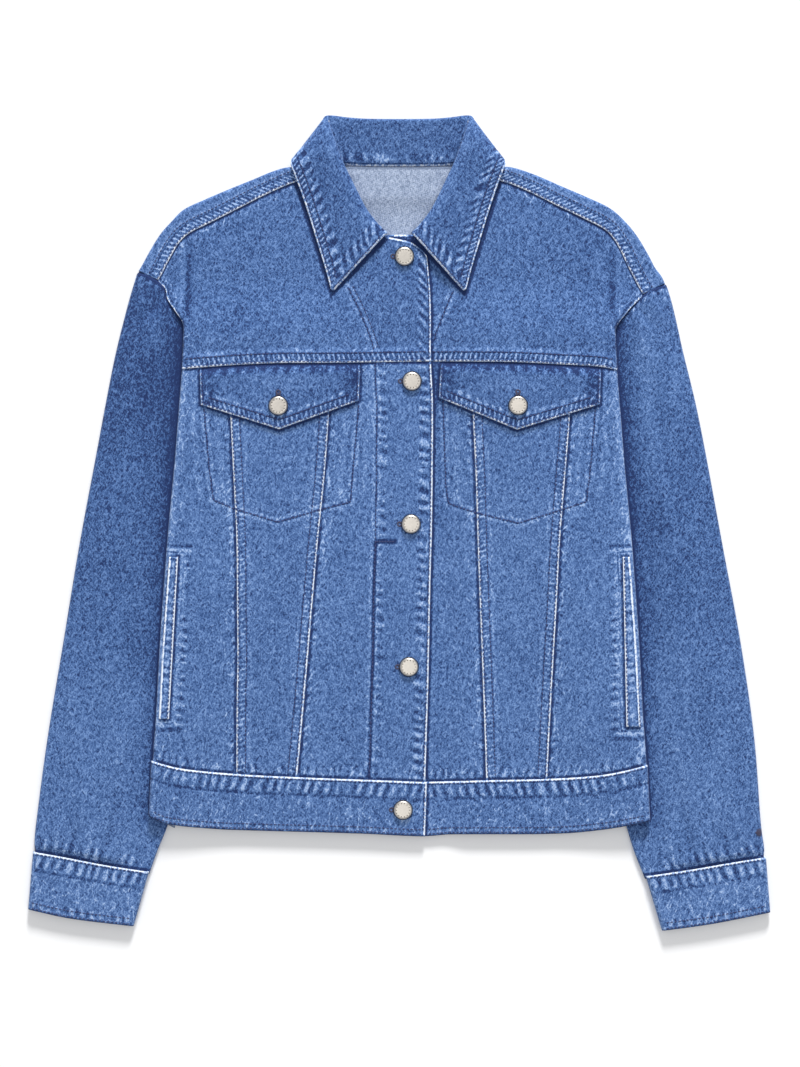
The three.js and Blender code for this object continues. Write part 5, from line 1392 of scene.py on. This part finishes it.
marks["inset"] = np.where(on_fall > 0, marks["inset"], edges["left"] + 0.3)
roll_line = np.exp(-((COLLAR_S - 1.75) / 0.35) ** 2)[None, :]
marks["relief"] = 1.8 * outer + 1.7 * leaf + 2.0 * stand
# Paler along the roll line, and painted shade over the whole collar
marks["fade"] = 0.08 * roll_line - 0.10
marks["crinkle"] = near_borders([edges["right"], front, edges["left"]])
cloth("collar", points, marks, 1.6, seen=(0.1, 0.97))


# Pocket flaps, pointed, on the panels just below the yoke seam
FLAP_CLOTH = 1.8
for key, side in SIDES.items():
    flap, sign = FLAPS[key], side["sign"]
    top = front_top if sign < 0 else left_front_top
    point_share = (flap["pointX"] - flap["footOuter"]) / (flap["footInner"] - flap["footOuter"])
    half_steps = shares(72, 1, 0)
    us = np.concatenate([half_steps * point_share, 1 - (1 - point_share) * half_steps[::-1][1:]])
    vs = shares(50, 0, 1)[:, None]
    top_x = blend(flap["topOuter"], flap["topInner"], us)
    foot_x = blend(flap["footOuter"], flap["footInner"], us)
    order = np.argsort([flap["footOuter"], flap["pointX"], flap["footInner"]])
    foot_y = np.interp(foot_x, np.array([flap["footOuter"], flap["pointX"], flap["footInner"]])[order],
                       np.array([flap["outerY"], flap["pointY"], flap["innerY"]])[order])
    x = blend(top_x[None, :], foot_x[None, :], vs)
    y = blend(yoke_seam(top_x)[None, :] + 1.5, foot_y[None, :], vs)
    edges = reach(np.stack([x, y, 0 * x], -1))
    border = np.minimum(np.minimum(edges["left"], edges["right"]), edges["foot"])
    from_top = edges["top"] - 1.5
    lift = LAP_RAISE + 0.4 + FLAP_CLOTH
    level = blend(-0.75, lift, ease((from_top + 0.8) / 10))
    foot_pucker = pucker(edges["foot"], edges["left"], 9.0, 15, 8.5, 101)
    side_pucker = pucker(np.minimum(edges["left"], edges["right"]), edges["top"], 1.5, 12, 8.5, 103)
    corner = ease((21 - np.minimum(edges["left"], edges["right"])) / 14) * ease((36 - edges["foot"]) / 16)
    z = top(x, y) + level + 0.25 * foot_pucker + 0.2 * side_pucker - turned_edge(border, 1.0)
    marks = fold_marks(edges, ["foot", "left", "right"])
    marks["ladder"] = np.where(edges["foot"] < np.minimum(edges["left"], edges["right"]), 1.0, 0.0)
    top_pucker = pucker(from_top, edges["left"], 0.5, 11, 12.0, 107)
    marks["relief"] = 0.8 * foot_pucker + 0.8 * side_pucker + 0.6 * top_pucker
    marks["under"] = from_top
    ridge = ease((edges["foot"] - 9.5) / 2) * ease((16 - edges["foot"]) / 4)
    middle = np.exp(-((x - flap["pointX"]) / 34) ** 2 - ((from_top - 19) / 11) ** 2)
    marks["fade"] = 0.14 * ridge + 0.12 * middle - 0.24 * corner - 0.36 * ease((13 - from_top) / 12) - 0.10
    marks["crinkle"] = near_borders([edges["foot"], edges["left"], edges["right"], from_top])
    cloth("pocket_flap_" + key, np.stack([x, y, z], -1), marks, FLAP_CLOTH - 0.4)

    # Hand pocket welt on the side front
    welt = WELTS[key]
    vs, us = shares(152, 1, 1)[:, None], shares(12, 1, 1)
    y = blend(welt["top"], welt["foot"], vs) + 0 * us
    inner = blend(welt["innerTop"], welt["innerFoot"], vs)
    outer = np.minimum(blend(welt["outerTop"], welt["outerFoot"], vs), side_half(y[:, :1]) - FOLD_INSET)
    x = sign * blend(outer, inner, us)
    edges = reach(np.stack([x, y, 0 * x], -1))
    border = np.minimum(np.minimum(edges["left"], edges["right"]), np.minimum(edges["top"], edges["foot"]))
    wave = pucker(edges["right"], edges["top"], 0.5, 10, 8.0, 105)
    z = top(x, y) + 0.4 + 1.4 + 0.2 * wave - turned_edge(border, 0.9)
    marks = fold_marks(edges, ["left", "right"], (), 0.0)
    marks["relief"] = 0.9 * wave
    marks["fade"] = 0.12
    marks["crinkle"] = 0.8
    cloth("pocket_welt_" + key, np.stack([x, y, z], -1), marks)


# Shank buttons: a flat disc, a rounded rim and an even ring of dimples, in metres
BUTTON_RADIUS = 0.0085
BUTTON_CROWN = 0.0031
RIM_TOP = 0.0016
DIMPLES = 14
DIMPLE_RING = 0.0062
DIMPLE_RADIUS = 0.00055


def shank_button(name):
    low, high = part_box(name)
    x, y = (low[0] + high[0]) / 2, (low[1] + high[1]) / 2
    radius, head = BUTTON_RADIUS, high[2]
    profile = [
        (0.0, -0.0008), (0.0052, -0.0008), (0.0056, 0.0002), (radius - 0.0002, 0.0003),
        (radius + 0.0006, 0.0007), (radius + 0.0006, 0.0012), (radius, 0.0015), (radius - 0.0001, 0.0021),
        (radius - 0.0006, 0.0027), (radius - 0.0013, 0.0030), (radius - 0.0020, BUTTON_CROWN),
        (radius - 0.0028, 0.00305), (0.0040, 0.0030), (0.0, 0.0030)]
    bm = bmesh.new()
    line = [bm.verts.new((r, 0, h)) for r, h in profile]
    edges = [bm.edges.new(pair) for pair in zip(line, line[1:])]
    bmesh.ops.spin(bm, geom=line + edges, cent=(0, 0, 0), axis=(0, 0, 1), angle=2 * math.pi, steps=48,
                   use_merge=True)
    bmesh.ops.remove_doubles(bm, verts=bm.verts, dist=1e-6)
    bmesh.ops.recalc_face_normals(bm, faces=bm.faces)
    # The underside and the rim that stands out past the top take the dark finish, as a painted shadow ring
    # round the button
    for face in bm.faces:
        if max(v.co.z for v in face.verts) < RIM_TOP:
            face.material_index = 1
    for i in range(DIMPLES):
        a = 2 * math.pi * i / DIMPLES
        spot = Vector((DIMPLE_RING * math.cos(a), DIMPLE_RING * math.sin(a), 0.0030))
        bead = bmesh.ops.create_uvsphere(bm, u_segments=8, v_segments=5, radius=DIMPLE_RADIUS)
        bmesh.ops.scale(bm, vec=(1, 1, 0.4), verts=bead["verts"])
        for face in {face for v in bead["verts"] for face in v.link_faces}:
            face.material_index = 1
        bmesh.ops.translate(bm, vec=spot, verts=bead["verts"])
    bmesh.ops.translate(bm, vec=(x, y, head - BUTTON_CROWN), verts=bm.verts)
    mesh = bpy.data.meshes.new("stud_" + name)
    bm.to_mesh(mesh)
    bm.free()
    mesh.shade_smooth()
    mesh.materials.append(METAL)
    mesh.materials.append(TARNISH_AND_PAINTED_SHADOW)
    piece = bpy.data.objects.new("stud_" + name, mesh)
    bpy.context.collection.objects.link(piece)
    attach(piece, "root")
    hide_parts(name)


for name in FRONT_BUTTONS + FLAP_BUTTONS:
    shank_button(name)


# Sewing: small strands of thread laid along lines, dropped on the cloth
def drop(x, y, nodes):
    """The highest of the named pieces under a place in mm, and the cloth's upward normal there."""
    start = Vector(((x + MIDDLE[0]) * MM, (y + MIDDLE[1]) * MM, 0.1))
    hits = [MADE[node].ray_cast(start, Vector((0, 0, -1)))[:2] for node in nodes]
    hits = [hit for hit in hits if hit[0] is not None]
    if not hits:
        return None
    spot, normal = max(hits, key=lambda hit: hit[0].z)
    return np.array(spot), np.array(normal if normal.z > 0 else -normal)


def strand(ends, nodes, width, steepest=1.2):
    """One strand from end to end, in mm, or None where the cloth falls away."""
    (x0, y0), (x1, y1) = ends
    hits = [drop(x, y, nodes) for x, y in ((x0, y0), ((x0 + x1) / 2, (y0 + y1) / 2), (x1, y1))]
    if any(hit is None for hit in hits):
        return None
    along = hits[2][0] - hits[0][0]
    length = float(np.linalg.norm(along))
    if abs(along[2]) > steepest * MM:
        return None
    return hits[1][0], along / length, hits[1][1], length, width * MM


def sewn(line, nodes, pitch=3.7, length=2.5, width=1.15):
    """A row of stitches along a line."""
    strands = []
    for i in range(int(line.at[-1] / pitch)):
        middle = (i + 0.5) * pitch
        x, y = line.place([middle - length / 2, middle + length / 2])
        strands.append(strand(((x[0], y[0]), (x[1], y[1])), nodes, width))
    return [each for each in strands if each]


SHORT = 0.3  # a step along a line, in mm, that gives its direction


def satin(line, nodes, reach_out, pitch=0.8, width=0.85):
    """Close strands across a line, as on a bar tack or a buttonhole's edge."""
    strands = []
    for i in range(int(line.at[-1] / pitch) + 1):
        start = i * pitch if i * pitch + SHORT < line.at[-1] else i * pitch - SHORT
        x, y = line.place([start, start + SHORT])
        d = np.array([x[1] - x[0], y[1] - y[0]]) / SHORT * reach_out / 2
        strands.append(strand(((x[0] - d[1], y[0] + d[0]), (x[0] + d[1], y[0] - d[0])), nodes, width))
    return [each for each in strands if each]


def buttonhole(x, y, dx, dy, length, nodes):
    """A thread-bound slot from a place, in the direction dx, dy."""
    strands = []
    for side in (-1.25, 1.25):
        x0, y0 = x - dy * side, y + dx * side
        edge = Line([x0, x0 + dx * length], [y0, y0 + dy * length])
        strands += satin(edge, nodes, 1.9)
    turn = np.linspace(0, 2 * math.pi, 13)
    eye = Line(x + dx * length + 1.9 * np.cos(turn), y + dy * length + 1.9 * np.sin(turn))
    return strands + satin(eye, nodes, 1.6)


def button_middle(name):
    """A button's middle in mm, measured as the tables are."""
    low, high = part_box(name)
    return (low[0] + high[0]) / 2 / MM - MIDDLE[0], (low[1] + high[1]) / 2 / MM - MIDDLE[1]


def thread_piece(name, strands, finish):
    """One mesh of many strands, each a copy of one small ellipsoid."""
    bm = bmesh.new()
    bmesh.ops.create_uvsphere(bm, u_segments=6, v_segments=4, radius=0.5)
    form = np.array([v.co[:] for v in bm.verts])
    faces = [[v.index for v in face.verts] for face in bm.faces]
    bm.free()
    spots = []
    for middle, along, normal, length, width in strands:
        side = np.cross(normal, along)
        side /= np.linalg.norm(side)
        up = np.cross(along, side)
        shape = form[:, 2:3] * along * (length + 0.3 * MM) + form[:, 0:1] * side * width
        spots.append(middle + 0.12 * MM * up + shape + form[:, 1:2] * up * width * 0.75)
    count = len(form)
    mesh = bpy.data.meshes.new(name)
    mesh.from_pydata(np.concatenate(spots).tolist(), [],
                     [[i + k * count for i in face] for k in range(len(strands)) for face in faces])
    mesh.shade_smooth()
    mesh.materials.append(finish)
    piece = bpy.data.objects.new(name, mesh)
    bpy.context.collection.objects.link(piece)
    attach(piece, "root")


def from_border(points, edges, border, far, rows, columns):
    """A line on a grid of points, a fixed length from one of its borders, over some rows or columns."""
    spots = []
    if border in ("left", "right"):
        for i in rows:
            reading = edges[border][i]
            order = np.argsort(reading)
            spots.append([np.interp(far, reading[order], points[i, order, k]) for k in (0, 1)])
    else:
        for j in columns:
            reading = edges[border][:, j]
            order = np.argsort(reading)
            spots.append([np.interp(far, reading[order], points[order, j, k]) for k in (0, 1)])
    spots = np.array(spots)
    return Line(spots[:, 0], spots[:, 1])


fronts, yokes, trims = [], [], []
for key, side in SIDES.items():
    sign = side["sign"]
    middle_front = ["middle_front_" + key]
    panels = [name + key for name in ("side_front_", "middle_front_", "centre_front_")]
    for name, inward in (("outer_seam", -sign), ("inner_seam", sign)):
        seam_top = yoke_seam(side[name](148)) - 1
        seam_foot = waist_seam(side[name](-234)) + 1
        for inset in (1.5, 8.4):
            fronts += sewn(down_line(side[name], seam_top, seam_foot, inward * inset), middle_front)
    fronts += sewn(POCKET_BAGS[key], panels, 3.4, 2.3, 1.3)
    yoke = ["front_yoke_" + key]
    ends = (-197, 28) if key == "r" else (30, 197)
    for inset in (1.3, 9.0):
        yokes += sewn(across_line(yoke_seam, ends[0], ends[1], inset), yoke)
    seam_x = np.linspace(SHOULDER[key]["seamX"][0], SHOULDER[key]["seamX"][-1], 60)
    shoulder_line = Line(seam_x, curve(SHOULDER[key]["seamX"], SHOULDER[key]["seamY"])(seam_x))
    for inset in (1.4, 10.5):
        yokes += sewn(shoulder_line.beside(-sign * inset), ["back_yoke"])
    corners = np.array(flap_outline(key))
    outline = Line(corners[:, 0], corners[:, 1])
    trims += sewn(outline.beside(1.5).part(6, -6), ["pocket_flap_" + key])
    foot = Line(corners[1:4, 0], corners[1:4, 1])
    trims += sewn(foot.beside(8.4).part(4, -4), ["pocket_flap_" + key])
    corners = np.array(welt_outline(key))
    lines = [Line(corners[[0, 1], 0], corners[[0, 1], 1]), Line(corners[[2, 3], 0], corners[[2, 3], 1])]
    for line in lines:
        trims += sewn(line.beside(1.4), ["pocket_welt_" + key])
    for y in (WELTS[key]["top"] - 1, WELTS[key]["foot"] + 1):
        near, far = sorted((corners[:, 0].min() + 1, corners[:, 0].max() - 1), key=abs)
        trims += satin(Line([near, far], [y, y]), ["pocket_welt_" + key], 2.2)
    cuff = ["cuff_" + key]
    cuff_ends = sorted((CUFF_SEAM[key]["x"][0] - sign * 3, CUFF_SEAM[key]["x"][-1] + sign * 3))
    trims += sewn(across_line(side["cuff_seam"], *cuff_ends, -1.9), cuff)
    hem_ends = sorted((CUFF_HEM[key]["x"][0] - sign * 3, CUFF_HEM[key]["x"][-1] + sign * 3))
    for inset in (2.0, 7.2):
        trims += sewn(across_line(side["cuff_hem"], *hem_ends, inset), cuff)
    band = ["waistband_" + key]
    band_ends = (-226, 24) if key == "r" else (26, 226)
    trims += sewn(across_line(waist_seam, *band_ends, -1.9), band)
    for inset in (2.2, 6.4):
        trims += sewn(across_line(hem, *band_ends, inset), band)
    count = len(collar_points)
    rows = range(4, 6 * per) if key == "r" else range(count - 6 * per, count - 4)
    for far in COLLAR_ROWS:
        trims += sewn(from_border(collar_points, collar_edges, "right", far, rows, ()), ["collar"])
    columns = range(int(np.sum(COLLAR_S < 2)) + 2, len(COLLAR_S) - 3)
    end = "top" if key == "r" else "foot"
    trims += sewn(from_border(collar_points, collar_edges, end, 2.4, (), columns), ["collar"])
fronts += sewn(down_line(front_edge, 240, yoke_seam(28) + 2, -1.6), ["front_yoke_r"])
fronts += sewn(down_line(front_edge, yoke_seam(28) - 2, waist_seam(25) + 1, -1.6), ["centre_front_r"])
band_line = down_line(front_edge, yoke_seam(-20) - 1, waist_seam(-25) + 1, -BAND_WIDTH)
fronts += sewn(band_line, ["centre_front_r"])
fronts += sewn(Line([-21.8, -4.4], [BAND_STEP_Y, BAND_STEP_Y]), ["centre_front_r"], 2.4, 2.0, 1.0)
for line in (FACINGS["r"], FACINGS["r"].beside(4.5), FACINGS["l"]):
    yokes += sewn(line, ["front_yoke_r", "front_yoke_l"])
band_end = down_line(lambda y: blend(*BAND_END, (-238 - y) / 50), -240, -286, -1.8)
trims += sewn(band_end, ["waistband_r"])
thread_piece("sewing_of_fronts", fronts, THREAD)
thread_piece("sewing_of_yokes", yokes, THREAD)
thread_piece("sewing_of_trims", trims, THREAD)

holes = []
nodes = ["front_yoke_r", "centre_front_r", "waistband_r"]
for name in FRONT_BUTTONS:
    x, y = button_middle(name)
    holes += buttonhole(x + 1, y, -1, 0, 11.5, nodes)
for name in FLAP_BUTTONS:
    x, y = button_middle(name)
    holes += buttonhole(x, y, 0, 1, 12.5, ["pocket_flap_" + name[-1]])
DOT = (331.6, -285.7)  # the middle of the stitched dot above the left cuff
for row in range(-4, 5):
    reach_out = math.sqrt(max(16.5 - row * row, 0.5))
    x = DOT[0] + row * 0.85
    spot = Line([x, x], [DOT[1] - reach_out, DOT[1] + reach_out])
    holes += sewn(spot, ["sleeve_upper_l"], 1.99 * reach_out, 2 * reach_out, 1.0)
thread_piece("buttonholes", holes, HOLE_THREAD)


# Floor, light and camera
def floor_finish():
    f = Finish("white_floor")
    haze = f.noise(f.place(), 900.0, 1.0, 0.5)
    colour = f.node("ShaderNodeMix", {"data_type": "RGBA"},
                    {0: haze, 6: (0.93, 0.93, 0.935, 1), 7: (0.94, 0.94, 0.94, 1)}, output=2)
    return f.close({"Roughness": 0.9, "Specular IOR Level": 0.1}, Base_Color=colour)


bm = bmesh.new()
bmesh.ops.create_grid(bm, x_segments=4, y_segments=4, size=6.0)
bmesh.ops.translate(bm, vec=(0, 0, -0.0005), verts=bm.verts)
floor_mesh = bpy.data.meshes.new("floor")
bm.to_mesh(floor_mesh)
bm.free()
floor_mesh.materials.append(floor_finish())
floor = bpy.data.objects.new("floor", floor_mesh)
bpy.context.collection.objects.link(floor)


def area_light(name, place, aim, size, watts):
    data = bpy.data.lights.new(name, "AREA")
    data.shape, data.size, data.energy = "DISK", size, watts
    lamp = bpy.data.objects.new(name, data)
    lamp.location = place
    lamp.rotation_euler = (Vector(aim) - Vector(place)).to_track_quat("-Z", "Y").to_euler()
    bpy.context.collection.objects.link(lamp)


area_light("window_light", (0.5, 5.4, 2.45), (0, 0.0, 0), 1.3, 450)
area_light("fill_light", (0.6, -0.4, 3.4), (0, 0, 0), 2.6, 20)
world = bpy.data.worlds.new("studio")
world.use_nodes = True
world.node_tree.nodes["Background"].inputs[0].default_value = (0.97, 0.98, 1.0, 1)
world.node_tree.nodes["Background"].inputs[1].default_value = 0.55
bpy.context.scene.world = world
bpy.context.scene.view_settings.view_transform = "Standard"
bpy.context.scene.view_settings.look = "None"

FRAME_HEIGHT = 1067 * 0.92 * MM  # the picture's height at 0.92 mm a pixel
LENS = 85.0
SENSOR = 36.0
camera_data = bpy.data.cameras.new("camera")
camera_data.lens, camera_data.sensor_width = LENS, SENSOR
camera = bpy.data.objects.new("camera", camera_data)
camera_height = FRAME_HEIGHT * LENS / SENSOR + 0.010
camera.location = ((0.46 + MIDDLE[0]) * MM, (-10.1 + MIDDLE[1]) * MM, camera_height)
bpy.context.collection.objects.link(camera)
bpy.context.scene.camera = camera
